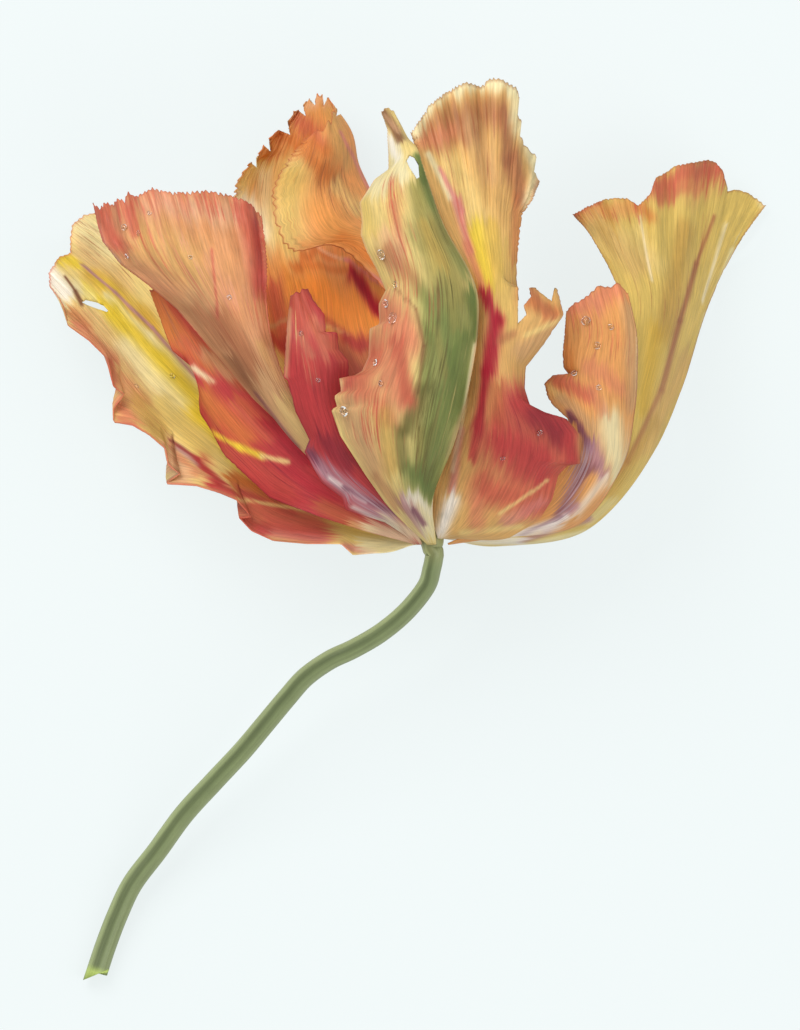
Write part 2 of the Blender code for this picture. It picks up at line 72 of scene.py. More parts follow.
RIGHT_INNER_PETAL = {
    "root": (LOW_RING, 66, 22),
    "rows": (
        ((432, 515, 49), (448, 520, 50), (467, 526, 50), (489, 532, 48), (510, 537, 44)),
        ((434, 482, 53), (458, 485, 56), (490, 492, 57), (520, 500, 54), (551, 502, 48)),
        ((449, 437, 59), (474, 437, 63), (505, 442, 64), (540, 445, 60), (580, 450, 52)),
        ((460, 390, 65), (480, 390, 69), (500, 392, 70), (515, 395, 68), (530, 406, 62)),
        ((466, 340, 67), (480, 338, 71), (494, 337, 72), (506, 336, 70), (519, 335, 65)),
        ((468, 285, 70), (480, 283, 71), (492, 281, 71), (504, 280, 69), (516, 280, 65)),
        ((436, 222, 72), (460, 222, 71), (484, 222, 69), (503, 222, 66), (522, 222, 62)),
        ((418, 165, 70), (448, 164, 67), (480, 165, 64), (508, 170, 60), (535, 192, 56)),
        ((410, 134, 66), (434, 101, 61), (472, 84, 57), (515, 92, 54), (540, 180, 51)),
    ),
    "rim": ((410, 134), (422, 117), (429, 106), (444, 94), (456, 87), (467, 82), (480, 87),
            (491, 78), (501, 79), (516, 87), (519, 97), (516, 112), (521, 120), (519, 132),
            (524, 144), (536, 156), (533, 170), (540, 182)),
    "right": ((515, 534), (539, 520), (552, 499), (558, 475), (568, 465), (580, 464), (580, 435),
              (566, 419), (550, 416), (530, 408), (524, 389), (525, 368), (544, 344), (563, 316),
              (556, 288), (552, 303), (544, 306), (525, 284), (526, 318), (519, 312), (516, 280),
              (518, 251), (522, 216), (533, 201), (540, 182)),
    "waves": (6, 5, 1.0),
}
RIGHT_OUTER_PETAL = {
    "root": (LOW_RING, -9, -37),
    "rows": (
        ((486, 532, 35), (491, 536, 33.2), (496, 540, 31), (499, 543, 28), (500, 546, 25)),
        ((560, 500, 36), (568, 513, 33), (575, 524, 29), (582, 531, 24), (588, 529, 18)),
        ((598, 445, 36), (614, 455, 33), (630, 465, 28), (643, 468, 20), (652, 456, 10)),
        ((610, 385, 38), (630, 388, 35), (650, 390, 29), (667, 390, 18), (684, 388, 4)),
        ((620, 300, 37), (645, 305, 34), (668, 309, 28), (690, 311, 16), (709, 309, 1.2)),
        ((594, 240, 33), (628, 246, 32), (664, 250, 28), (700, 252, 16), (738, 248, 1.5)),
        ((574, 214, 28), (614, 195, 30), (660, 172, 28), (714, 158, 18), (768, 205, 4)),
    ),
    "rim": ((573, 213), (587, 205), (606, 197), (627, 196), (639, 204), (651, 192), (657, 176),
            (669, 169), (677, 163), (695, 160), (710, 157), (717, 158), (725, 167), (731, 188),
            (740, 186), (749, 188), (761, 195), (770, 202)),
    "waves": (5, 5, 1.2),
}
BACK_PETAL = {
    "root": (INNER_RING, 246, 294),
    "rows": (
        ((372, 490, 31), (386, 492, 29), (402, 494, 28), (418, 495, 27.5), (430, 494, 28),
         (441, 492, 29), (450, 490, 31)),
        ((312, 425, 28), (338, 425, 24), (365, 425, 22), (392, 425, 21), (415, 424, 22),
         (430, 422, 25), (440, 420, 29)),
        ((256, 352, 24), (288, 352, 18), (322, 350, 15), (358, 348, 14), (390, 345, 17),
         (405, 340, 22), (412, 335, 28)),
        ((240, 300, 19), (276, 296, 13), (315, 290, 10), (345, 285, 10), (375, 280, 13),
         (397, 281, 22), (388, 294, 29)),
        ((240, 255, 14), (270, 250, 8), (302, 245, 6), (338, 240, 7), (374, 232, 13),
         (376, 240, 25), (336, 246, 32)),
        ((230, 215, 10), (262, 208, 5), (298, 203, 4), (335, 198, 6), (372, 196, 14),
         (338, 222, 30), (288, 250, 34)),
        ((232, 180, 10), (262, 170, 6), (294, 162, 5), (326, 158, 7), (358, 162, 14),
         (325, 186, 28), (270, 200, 32)),
        ((262, 140, 10), (280, 132, 7), (300, 125, 7), (322, 122, 9), (351, 130, 16),
         (330, 150, 27), (284, 162, 32)),
        ((298, 108, 8), (304, 99, 8), (311, 92, 9), (319, 89, 12), (330, 98, 17),
         (328, 116, 24), (303, 138, 29)),
    ),
    "left": ((372, 490), (312, 425), (256, 352), (240, 300), (232, 250), (226, 205), (233, 181),
             (243, 164), (254, 155), (263, 139), (280, 124), (298, 108)),
    "waves": (4, 0, 0.4),
}
LEFT_OUTER_PETAL = {
    "root": (OUTER_RING, 192, 228),
    "rows": (
        ((375, 553, 39), (378, 541, 34), (381, 528, 30), (384, 515, 27), (388, 500, 26)),
        ((290, 543, 42), (290, 520, 32), (293, 495, 25), (300, 465, 20), (310, 435, 18)),
        ((222, 496, 42), (215, 470, 31), (215, 435, 23), (222, 395, 17), (235, 350, 14)),
        ((150, 437, 38), (145, 412, 29), (148, 375, 21), (160, 330, 15), (175, 285, 11)),
        ((105, 365, 32), (98, 345, 25), (100, 315, 18), (112, 275, 8), (128, 235, -2.5)),
        ((62, 305, 24), (50, 288, 20), (50, 262, 13), (66, 236, 3), (92, 209, -5)),
    ),
    "left": ((375, 553), (353, 555), (341, 544), (307, 544), (273, 541), (251, 531),
             (239, 518), (251, 517), (236, 500), (219, 493), (196, 486), (164, 484), (181, 475),
             (168, 466), (165, 449), (149, 435), (132, 425), (113, 422), (113, 408), (124, 395),
             (113, 386), (107, 359), (88, 340), (67, 325), (62, 305)),
    "rim": ((62, 305), (57, 296), (47, 284), (46, 270), (55, 255), (67, 250), (66, 236),
            (68, 221), (80, 211), (92, 209)),
    "waves": (9, 0, 1.0),
}
LEFT_INNER_PETAL = {
    "root": (INNER_RING, 172, 128),
    "rows": (
        ((380, 516, 43), (384, 511, 45.5), (388, 507, 47), (393, 502, 48), (398, 497, 48.5)),
        ((290, 455, 44), (300, 452, 47), (309, 449, 49), (318, 446, 50), (327, 443, 50)),
        ((240, 385, 46), (250, 385, 51), (262, 384, 54), (274, 382, 55), (286, 380, 54)),
        ((176, 308, 46), (198, 312, 53), (222, 315, 57), (246, 316, 58), (269, 318, 56)),
        ((118, 262, 44), (150, 258, 53), (190, 255, 58), (230, 256, 60), (268, 262, 57)),
        ((92, 204, 40), (128, 192, 49), (170, 190, 54), (215, 194, 57), (262, 216, 55)),
    ),
    "rim": ((92, 202), (100, 206), (104, 200), (112, 203), (118, 197), (124, 199), (128, 191),
            (134, 196), (142, 193), (153, 187), (165, 191), (185, 192), (205, 190), (222, 193),
            (238, 197), (250, 203), (262, 215)),
    "left": ((380, 516), (304, 447), (253, 398), (224, 364), (176, 308), (147, 284), (120, 264),
             (102, 241), (97, 224), (92, 202)),
    "waves": (7, 7, 0.9),
}
LEFT_FRONT_LOBE = {
    "root": (OUTER_RING, 150, 127),
    "rows": (
        ((385, 522, 47.5), (389, 517, 49.5), (394, 512, 51), (400, 507, 52), (406, 503, 52.5)),
        ((322, 482, 54), (334, 472, 56), (346, 462, 57.5), (358, 453, 58), (368, 445, 58)),
        ((296, 412, 58), (310, 410, 60), (324, 407, 61), (337, 404, 61), (349, 400, 60)),
        ((285, 368, 60), (300, 366, 62), (316, 364, 63), (332, 362, 63), (347, 360, 62)),
        ((287, 330, 60), (297, 328, 61), (307, 326, 62), (316, 326, 62), (326, 326, 61)),
        ((291, 296, 58), (295, 293, 59), (299, 291, 59), (303, 289, 59), (308, 289, 58)),
    ),
    "left": ((385, 522), (345, 509), (343, 498), (322, 482), (305, 452), (310, 440), (296, 412),
             (288, 382), (284, 378), (287, 327), (291, 296)),
    "right": ((406, 503), (368, 445), (349, 400), (349, 362), (339, 350), (338, 333), (327, 334),
              (325, 315), (314, 301), (308, 289)),
    "waves": (4, 1, 0.5),
}
RIGHT_SIDE_LOBE = {
    "root": (OUTER_RING, 19, -1),
    "rows": (
        ((478, 529, 42), (482, 532, 41.2), (487, 534, 40), (491, 536, 38.5), (494, 538, 36.8)),
        ((530, 500, 44), (545, 508, 43.5), (558, 517, 41.5), (568, 524, 38), (578, 525, 34)),
        ((565, 455, 47), (580, 460, 47.5), (596, 466, 46), (612, 472, 42), (622, 466, 37)),
        ((560, 412, 50), (580, 412, 51.5), (600, 414, 51), (619, 414, 48), (635, 410, 43)),
        ((550, 376, 50), (574, 374, 52), (597, 371, 52), (618, 368, 50), (638, 365, 46)),
        ((564, 335, 49), (583, 332, 51), (602, 329, 51), (620, 328, 50), (637, 335, 47)),
        ((566, 311, 47), (576, 302, 48), (593, 290, 49), (612, 285, 48.5), (628, 293, 47)),
    ),
    "left": ((478, 529), (530, 500), (565, 455), (568, 419), (552, 405), (547, 397), (544, 384),
             (552, 376), (571, 377), (563, 368), (562, 354), (566, 311)),
    "rim": ((566, 311), (574, 303), (584, 298), (598, 285), (611, 287), (617, 282), (628, 293)),
    "waves": (4, 1, 0.5),
}
LEFT_SIDE_LOBE = {
    "root": (OUTER_RING, 183, 164),
    "rows": (
        ((372, 533, 39.5), (375, 528, 40), (379, 523, 40.2), (383, 518, 40), (386, 513, 39.4)),
        ((310, 515, 40), (312, 502, 40.5), (315, 488, 40.5), (318, 474, 40.5), (320, 460, 40)),
        ((262, 494, 38), (264, 472, 39), (268, 450, 40), (276, 430, 40), (286, 412, 39)),
        ((200, 425, 37), (208, 408, 39), (218, 392, 40), (230, 375, 40), (245, 360, 39)),
        ((172, 352, 37), (178, 345, 38), (186, 337, 39), (194, 328, 39), (204, 318, 38)),
        ((149, 289, 37), (152, 288, 37.5), (156, 287, 38), (160, 288, 38), (164, 291, 38)),
    ),
    "left": ((372, 533), (320, 517), (270, 498), (224, 456), (210, 430), (199, 413), (198, 398),
             (205, 380), (188, 364), (171, 350), (149, 288)),
    "waves": (4, 0, 0.5),
}

# The least share of an edge's run between two drawn points, so that a notch isn't lost.
LEAST_STEP = 0.006

# Places on each step of an edge among which the nearest one to a drawn point is looked for.
TRACK_PLACES = 20

# A length or a weight that is too small to matter, and keeps a division safe.
TINY = 1e-12

# The stem's middle line, from the neck under the bloom to its slanted cut end.
STEM_LINE = ((435, 553, 42), (432, 568, 40.5), (426, 587, 38), (406, 612, 34.5), (381, 633, 31.5),
             (354, 649, 28.5), (329, 661, 26), (305, 678, 23), (287, 698, 20.5), (262, 728, 17.5),
             (241, 753, 15), (213, 783, 12), (182, 817, 9), (155, 854, 6.5), (130, 887, 4.8),
             (115, 918, 3.6), (103, 949, 2.8), (93, 979, 2.5))

# The receptacle, which is the stem's head: sheet levels and radii in mm. The stem's cut rises from side to
# side by a share of its radius.
RECEPTACLE = ((521.0, 0.3), (522.0, 1.2), (524.5, 1.8), (529.0, 2.2), (534.0, 2.45), (539.0, 2.6),
              (544.0, 2.5), (548.0, 2.2))
CUT_SLANT = 0.9

# Fineness of the stem: sides, and rings along the head and along the rest.
STEM_SIDES = 48
HEAD_RINGS = 40
STEM_RINGS = 260

# Pigments of the flower, as sRGB hex codes.
PIGMENTS = {
    "white": "#F3ECE3", "cream": "#EADFB4", "butter": "#E6CE86", "straw": "#DCC06A", "yellow": "#E4CA3C",
    "gold": "#D8B040", "ochre": "#C8A050", "honey": "#D9AE69", "tan": "#CDA272", "peach": "#E2B48C",
    # Marigold is a light orange, used as painted light on the back petal's shaded fold.
    "melon": "#DA9C70", "marigold": "#F0A84C", "apricot": "#DFA35F", "orange": "#CF7C3C",
    "sienna": "#BC693E",
    "salmon": "#D68663", "coral": "#C8624B", "red": "#B93B3C", "crimson": "#AC1C30", "wine": "#8C2632",
    "pink": "#D88C84", "mauve": "#B98690", "plum": "#7C4458", "green": "#7F8948", "leaf": "#6A7B3C",
    "olive": "#A09350", "moss": "#66602F", "brown": "#7A4A30", "umber": "#AC6A46",
}

# How each petal is painted. Ground is its first pigment. Each wash is a soft stroke on the drawing
# sheet: pigment, from, to, half width in sheet units, strength. Streaks are strokes too, and say where
# fine lines of a pigment run along the petal, with how densely they lie. Margin is the thin line of
# pigment at the petal's edge: pigment, width in mm, strength. Tone deepens or lightens the whole ground:
# painted shade on petals that lie open to the light, painted light on the shaded back petal. A few
# washes are painted highlights, painted light and painted shade, marked where they stand.
PAINT = {
    "front_petal": {
        "ground": "butter",
        "tone": 0.97,
        "washes": (
            ("cream", (372, 192), (396, 182), 11, 0.8), ("straw", (364, 208), (372, 234), 7, 0.7),
            ("honey", (398, 190), (394, 240), 9, 0.6), ("salmon", (394, 210), (404, 258), 5, 0.6),
            ("peach", (386, 240), (398, 264), 9, 0.6), ("umber", (388, 256), (424, 298), 8, 0.6),
            ("olive", (415, 190), (422, 242), 9, 0.9), ("leaf", (417, 160), (424, 184), 4, 0.9),
            ("leaf", (424, 182), (434, 205), 7, 0.85), ("green", (432, 198), (444, 240), 8, 0.85),
            ("olive", (430, 236), (452, 300), 18, 0.9), ("ochre", (424, 226), (440, 264), 7, 0.45),
            ("green", (452, 252), (464, 274), 6, 0.6), ("leaf", (470, 296), (476, 336), 8, 0.9),
            ("green", (432, 300), (456, 340), 15, 0.9), ("green", (442, 330), (456, 400), 19, 0.95),
            ("olive", (436, 330), (444, 376), 4, 0.6), ("leaf", (452, 350), (448, 420), 5, 0.6),
            ("leaf", (428, 330), (426, 384), 7, 0.6), ("olive", (448, 300), (456, 326), 5, 0.5),
            ("leaf", (466, 340), (460, 420), 7, 0.5), ("cream", (474, 346), (464, 408), 2.2, 0.8),
            ("peach", (464, 408), (446, 456), 2.6, 0.7), ("green", (442, 400), (426, 480), 18, 0.95),
            ("moss", (422, 386), (404, 430), 8, 0.75), ("moss", (398, 432), (402, 466), 6, 0.65),
            ("olive", (421, 430), (420, 468), 4, 0.6), ("leaf", (412, 470), (432, 492), 9, 0.7),
            ("salmon", (384, 306), (408, 346), 15, 0.9), ("coral", (366, 340), (356, 396), 13, 0.8),
            ("salmon", (376, 352), (398, 400), 14, 0.85), ("coral", (396, 350), (408, 398), 8, 0.8),
            ("coral", (362, 346), (374, 356), 7, 0.6),
            ("coral", (372, 400), (388, 424), 9, 0.5), ("brown", (396, 291), (416, 312), 1.6, 0.3),
            ("brown", (416, 312), (424, 346), 1.6, 0.45), ("brown", (424, 346), (418, 392), 1.5, 0.45),
            ("red", (356, 362), (346, 386), 6, 0.5), ("tan", (350, 410), (376, 466), 13, 0.9),
            ("ochre", (382, 420), (392, 470), 8, 0.6), ("umber", (378, 480), (402, 508), 6, 0.5),
            ("mauve", (404, 500), (424, 528), 6, 0.8), ("white", (412, 498), (434, 512), 6, 0.75),
            ("cream", (426, 514), (430, 532), 8, 0.9), ("plum", (414, 510), (424, 524), 2.4, 0.7),
            ("cream", (392, 148), (402, 174), 8, 0.9), ("white", (392, 146), (396, 160), 5, 0.8),
            ("brown", (384, 114), (400, 142), 4, 0.8),
            ("peach", (386, 118), (398, 134), 2.4, 0.6),
        ),
        "streaks": (
            ("coral", (390, 190), (410, 300), 14, 0.62), ("umber", (410, 225), (430, 300), 12, 0.45),
            ("coral", (400, 310), (366, 440), 24, 0.55), ("umber", (398, 420), (404, 500), 14, 0.5),
            ("moss", (440, 290), (424, 470), 18, 0.75), ("moss", (426, 190), (450, 280), 10, 0.5),
            ("butter", (462, 350), (440, 450), 9, 0.4),
        ),
        "margin": ("peach", 0.5, 0.5),
    },
    "right_inner_petal": {
        "ground": "honey",
        "tone": 0.98,
        "washes": (
            ("umber", (430, 136), (492, 112), 14, 0.6), ("umber", (440, 152), (472, 140), 9, 0.5),
            ("salmon", (424, 148), (450, 140), 8, 0.6), ("tan", (472, 130), (490, 180), 9, 0.5),
            ("umber", (502, 116), (508, 160), 7, 0.7), ("umber", (508, 160), (522, 202), 8, 0.75),
            ("sienna", (516, 200), (512, 260), 5, 0.5), ("butter", (450, 172), (486, 236), 14, 0.7),
            ("yellow", (476, 236), (486, 286), 10, 0.85), ("gold", (490, 226), (497, 270), 6, 0.5),
            ("straw", (500, 250), (505, 320), 9, 0.6), ("cream", (414, 136), (430, 106), 8, 0.95),
            ("cream", (430, 106), (476, 86), 9, 0.95), ("cream", (480, 84), (513, 86), 9, 0.95),
            ("cream", (516, 90), (514, 118), 7, 0.85), ("cream", (518, 130), (534, 160), 8, 0.85),
            ("cream", (537, 165), (530, 205), 7, 0.85), ("cream", (428, 158), (450, 200), 3.4, 0.9),
            ("pink", (440, 172), (462, 215), 2.4, 0.85), ("pink", (456, 205), (470, 255), 4.5, 0.85),
            # The crimson and red stripe from here down is deep red tissue, darkened further as painted
            # shade in the recess beside the front petal.
            ("salmon", (466, 246), (482, 290), 4, 0.75), ("crimson", (483, 296), (497, 322), 5.5, 0.9),
            ("crimson", (496, 322), (487, 370), 7, 0.9), ("crimson", (487, 370), (478, 430), 6, 0.85),
            ("red", (480, 424), (473, 456), 5, 0.8), ("umber", (498, 342), (512, 334), 4, 0.5),
            ("tan", (520, 352), (556, 326), 9, 0.75), ("sienna", (526, 300), (552, 314), 8, 0.75),
            ("umber", (530, 290), (546, 312), 4, 0.6), ("butter", (524, 336), (558, 321), 2.6, 0.7),
            ("sienna", (498, 386), (497, 422), 7, 0.7), ("umber", (492, 440), (482, 480), 9, 0.65),
            ("red", (520, 404), (556, 424), 20, 0.95), ("red", (504, 440), (545, 462), 22, 0.92),
            ("wine", (534, 416), (562, 434), 10, 0.6), ("coral", (488, 486), (532, 500), 17, 0.9),
            ("red", (520, 470), (552, 480), 11, 0.6),
            ("red", (568, 436), (573, 462), 8, 0.9), ("coral", (566, 478), (545, 504), 13, 0.92),
            ("pink", (540, 500), (508, 520), 7, 0.6), ("butter", (547, 479), (500, 513), 1.8, 0.75),
            ("butter", (462, 532), (520, 526), 3, 0.7), ("pink", (461, 430), (452, 490), 4, 0.75),
            ("cream", (466, 400), (453, 470), 2.4, 0.6), ("salmon", (476, 500), (478, 520), 9, 0.7),
            ("white", (451, 500), (440, 532), 8, 0.95),
        ),
        "streaks": (
            ("umber", (436, 136), (520, 120), 20, 0.6), ("umber", (440, 160), (520, 180), 22, 0.45),
            ("coral", (452, 165), (474, 250), 10, 0.5), ("umber", (510, 180), (508, 290), 10, 0.45),
            ("wine", (510, 410), (560, 460), 26, 0.4), ("straw", (494, 430), (484, 486), 8, 0.4),
            # The wine streak on this line deepens the same recess as painted shade.
            ("wine", (486, 330), (478, 440), 6, 0.5),
        ),
        "margin": ("umber", 0.25, 0.45),
    },
    "right_outer_petal": {
        "ground": "straw",
        "tone": 0.97,
        "washes": (
            ("apricot", (580, 212), (630, 202), 11, 0.8), ("tan", (598, 226), (640, 262), 14, 0.4),
            ("coral", (574, 213), (600, 200), 3, 0.6), ("orange", (640, 205), (652, 216), 6, 0.6),
            ("coral", (656, 184), (720, 166), 12, 0.8), ("coral", (664, 196), (702, 190), 6, 0.5),
            ("honey", (690, 202), (724, 186), 7, 0.4), ("butter", (636, 232), (656, 262), 10, 0.55),
            ("straw", (735, 202), (760, 196), 12, 0.7), ("cream", (762, 190), (768, 206), 4, 0.6),
            ("ochre", (686, 230), (666, 330), 10, 0.75), ("gold", (656, 330), (645, 402), 9, 0.6),
            ("umber", (716, 214), (698, 262), 1.8, 0.7), ("umber", (698, 262), (681, 320), 2.6, 0.8),
            ("umber", (681, 320), (662, 390), 3, 0.8), ("umber", (662, 390), (628, 460), 3, 0.7),
            ("umber", (628, 460), (584, 511), 3, 0.55), ("straw", (740, 236), (702, 320), 11, 0.6),
            # The two thin cream lines on the next line are painted highlights along the fold ridges.
            ("cream", (736, 246), (716, 296), 3, 0.8), ("cream", (708, 312), (692, 378), 2.4, 0.6),
            ("honey", (688, 356), (642, 450), 9, 0.6), ("ochre", (655, 422), (610, 490), 6, 0.6),
            ("cream", (612, 500), (590, 520), 5, 0.5), ("mauve", (590, 518), (520, 541), 3, 0.7),
            ("cream", (590, 530), (520, 546), 3, 0.8), ("white", (520, 541), (450, 536), 6, 0.85),
            ("cream", (583, 228), (612, 282), 2.4, 0.7), ("cream", (600, 320), (596, 360), 2, 0.4),
            # Painted highlights: the two thin white lines along the fold ridges.
            ("white", (728, 222), (704, 300), 1.6, 0.6), ("white", (640, 216), (652, 280), 1.6, 0.45),
        ),
        "streaks": (
            ("coral", (580, 210), (640, 212), 18, 0.55), ("coral", (656, 186), (726, 176), 20, 0.7),
            ("umber", (600, 240), (660, 300), 24, 0.4), ("umber", (712, 216), (672, 350), 10, 0.5),
            # The cream streak on this line is a painted highlight along a fold ridge.
            ("umber", (655, 400), (600, 490), 12, 0.45), ("cream", (740, 230), (700, 330), 12, 0.35),
        ),
        "margin": ("umber", 0.3, 0.4),
    },
    "back_petal": {
        "ground": "apricot",
        "tone": 1.03,
        "washes": (
            # Partly painted light: the cream, butter and white washes of the outer left strip are its pale
            # colour, made lighter where the sheet faces away from the light.
            ("cream", (238, 196), (262, 236), 16, 0.95), ("butter", (236, 180), (264, 158), 10, 0.85),
            ("cream", (262, 170), (268, 236), 8, 0.7), ("white", (244, 200), (258, 228), 9, 0.6),
            ("apricot", (262, 242), (268, 276), 6, 0.6),
            ("coral", (300, 112), (320, 138), 8, 0.6), ("orange", (284, 132), (326, 146), 8, 0.7),
            ("orange", (260, 152), (286, 150), 5, 0.5), ("honey", (332, 112), (346, 162), 8, 0.8),
            ("peach", (308, 92), (326, 104), 6, 0.7), ("pink", (340, 130), (371, 194), 1.6, 0.8),
            ("butter", (292, 166), (286, 236), 17, 0.9), ("honey", (302, 186), (308, 216), 9, 0.6),
            ("orange", (308, 152), (346, 196), 9, 0.75), ("butter", (336, 184), (356, 206), 8, 0.8),
            ("apricot", (322, 216), (368, 262), 14, 0.85), ("orange", (340, 236), (372, 262), 8, 0.8),
            ("butter", (280, 236), (286, 266), 6, 0.6), ("orange", (292, 262), (332, 251), 6, 0.85),
            # The marigold washes are painted light: a bright orange that lifts the fold's deep, shaded
            # inside.
            ("orange", (300, 264), (346, 268), 4, 0.7), ("marigold", (302, 290), (366, 322), 22, 0.98),
            ("marigold", (318, 210), (364, 252), 15, 0.3), ("straw", (290, 176), (292, 236), 13, 0.6),
            # Painted highlight: the thin peach and pink line along the fold's rolled lower margin.
            ("peach", (318, 247), (346, 258), 1.8, 0.85),
            ("pink", (346, 258), (392, 289), 2.2, 0.85), ("crimson", (356, 278), (376, 306), 7, 0.98),
            ("coral", (270, 284), (286, 346), 9, 0.8), ("tan", (268, 326), (286, 318), 2.4, 0.7),
            ("red", (270, 336), (290, 352), 6, 0.6), ("coral", (322, 318), (362, 346), 4, 0.7),
            ("butter", (326, 326), (346, 333), 2.4, 0.6), ("red", (348, 340), (376, 352), 7, 0.7),
            ("wine", (338, 362), (390, 402), 18, 0.6), ("butter", (273, 354), (288, 378), 6, 0.8),
            ("yellow", (276, 420), (420, 505), 12, 0.5),
        ),
        "streaks": (
            ("coral", (296, 116), (250, 170), 20, 0.55), ("umber", (310, 155), (352, 205), 18, 0.6),
            ("sienna", (300, 226), (360, 250), 18, 0.45), ("coral", (290, 290), (350, 340), 26, 0.45),
            ("orange", (296, 170), (284, 250), 16, 0.4), ("coral", (258, 200), (266, 270), 10, 0.4),
        ),
        "margin": ("sienna", 0.35, 0.7),
    },
    "left_outer_petal": {
        "ground": "butter",
        "tone": 0.99,
        "washes": (
            ("cream", (72, 216), (112, 246), 16, 0.65), ("tan", (78, 246), (122, 288), 10, 0.45),
            ("gold", (92, 274), (150, 326), 9, 0.9), ("yellow", (100, 282), (122, 302), 6, 0.5),
            ("gold", (140, 312), (166, 346), 8, 0.7), ("cream", (104, 297), (150, 335), 4.5, 0.9),
            ("cream", (150, 336), (212, 394), 5, 0.85), ("mauve", (80, 263), (112, 291), 1.5, 0.9),
            ("mauve", (112, 291), (150, 326), 1.8, 0.9), ("mauve", (150, 326), (202, 386), 1.8, 0.85),
            ("yellow", (84, 290), (112, 312), 6, 0.85), ("yellow", (112, 314), (160, 362), 9, 0.95),
            ("yellow", (160, 362), (205, 418), 12, 0.95), ("yellow", (205, 418), (282, 502), 11, 0.95),
            ("tan", (84, 316), (130, 374), 10, 0.4), ("cream", (124, 346), (178, 406), 11, 0.7),
            ("sienna", (68, 310), (82, 326), 6, 0.65), ("salmon", (78, 326), (110, 358), 5, 0.7),
            ("coral", (108, 362), (113, 388), 4, 0.7), ("salmon", (114, 378), (142, 402), 8, 0.5),
            ("salmon", (118, 406), (132, 424), 9, 0.85), ("ochre", (136, 402), (162, 432), 10, 0.6),
            ("straw", (166, 406), (206, 456), 10, 0.6), ("peach", (164, 452), (182, 482), 11, 0.85),
            ("salmon", (170, 446), (190, 470), 5, 0.6), ("mauve", (178, 448), (199, 465), 3, 0.7),
            ("wine", (170, 441), (200, 461), 1.4, 0.8), ("peach", (166, 484), (226, 496), 3, 0.85),
            ("red", (203, 466), (213, 480), 7, 0.92), ("red", (213, 486), (292, 514), 6, 0.88),
            ("orange", (236, 482), (282, 500), 7, 0.95),
            ("coral", (242, 508), (322, 530), 13, 0.9), ("red", (262, 526), (318, 538), 8, 0.6),
            ("pink", (262, 532), (324, 541), 5, 0.5),
            ("red", (242, 520), (264, 532), 5, 0.6), ("butter", (236, 500), (320, 514), 1.8, 0.9),
            ("straw", (332, 520), (376, 540), 8, 0.75), ("pink", (344, 547), (374, 554), 3.5, 0.8),
            ("cream", (366, 546), (424, 544), 9, 0.95), ("white", (44, 268), (62, 292), 9, 0.9),
            ("yellow", (56, 256), (78, 266), 5, 0.9), ("cream", (70, 282), (92, 298), 5, 0.6),
            ("brown", (61, 274), (72, 290), 1.2, 0.85), ("brown", (72, 290), (79, 304), 2, 0.9),
        ),
        "streaks": (
            ("umber", (76, 216), (120, 280), 16, 0.5), ("salmon", (84, 318), (150, 420), 16, 0.55),
            ("umber", (90, 325), (150, 400), 14, 0.5), ("coral", (240, 508), (330, 535), 16, 0.5),
            ("umber", (130, 400), (200, 470), 12, 0.4), ("wine", (210, 478), (300, 508), 7, 0.4),
        ),
        "margin": ("coral", 0.45, 0.6),
    },
    "left_inner_petal": {
        "ground": "melon",
        "tone": 0.96,
        "washes": (
            ("apricot", (200, 215), (226, 300), 34, 0.35),
            ("honey", (146, 242), (206, 272), 21, 0.85), ("peach", (160, 205), (228, 216), 13, 0.8),
            ("coral", (100, 208), (116, 240), 8, 0.8), ("coral", (128, 206), (136, 230), 5, 0.7),
            ("coral", (118, 238), (128, 248), 5, 0.5), ("melon", (214, 262), (226, 300), 12, 0.7),
            ("coral", (246, 206), (262, 292), 9, 0.9), ("red", (256, 226), (264, 300), 5, 0.5),
            ("sienna", (263, 296), (267, 346), 5, 0.5), ("tan", (196, 300), (250, 362), 16, 0.85),
            ("umber", (222, 318), (256, 374), 10, 0.75), ("umber", (196, 306), (222, 342), 8, 0.5),
            ("brown", (232, 358), (262, 398), 5, 0.6), ("honey", (262, 348), (276, 384), 5, 0.5),
            ("tan", (264, 382), (300, 440), 12, 0.9), ("butter", (286, 404), (312, 446), 8, 0.6),
            ("plum", (256, 392), (300, 448), 1.8, 0.5), ("red", (213, 252), (219, 318), 1.4, 0.4),
            ("pink", (97, 226), (104, 246), 3, 0.8), ("white", (104, 247), (118, 262), 2.6, 0.9),
            ("cream", (370, 500), (420, 530), 14, 0.8),
        ),
        "streaks": (
            ("coral", (110, 200), (240, 208), 24, 0.8), ("coral", (150, 240), (255, 310), 34, 0.6),
            ("umber", (200, 300), (262, 380), 22, 0.55), ("cream", (170, 215), (230, 290), 22, 0.4),
            ("brown", (225, 330), (285, 410), 12, 0.5),
        ),
        "margin": ("coral", 0.4, 0.6),
    },
    "left_front_lobe": {
        "ground": "red",
        "tone": 0.96,
        "washes": (
            ("coral", (296, 298), (308, 325), 13, 0.85), ("salmon", (318, 330), (328, 352), 9, 0.7),
            ("tan", (300, 336), (312, 356), 4, 0.45), ("tan", (290, 312), (287, 376), 3, 0.75),
            ("coral", (302, 345), (312, 372), 8, 0.4), ("red", (300, 385), (322, 420), 14, 0.8),
            ("coral", (336, 342), (342, 362), 7, 0.6), ("wine", (326, 440), (348, 464), 9, 0.8),
            ("plum", (303, 446), (334, 480), 5, 0.85), ("mauve", (320, 468), (390, 520), 9, 0.85),
            ("white", (330, 478), (366, 500), 2.6, 0.7), ("plum", (345, 487), (396, 514), 2.6, 0.7),
            ("white", (352, 506), (396, 528), 3, 0.7), ("cream", (385, 522), (425, 538), 9, 0.85),
        ),
        "streaks": (
            ("butter", (300, 320), (305, 370), 12, 0.4), ("wine", (310, 360), (335, 440), 18, 0.5),
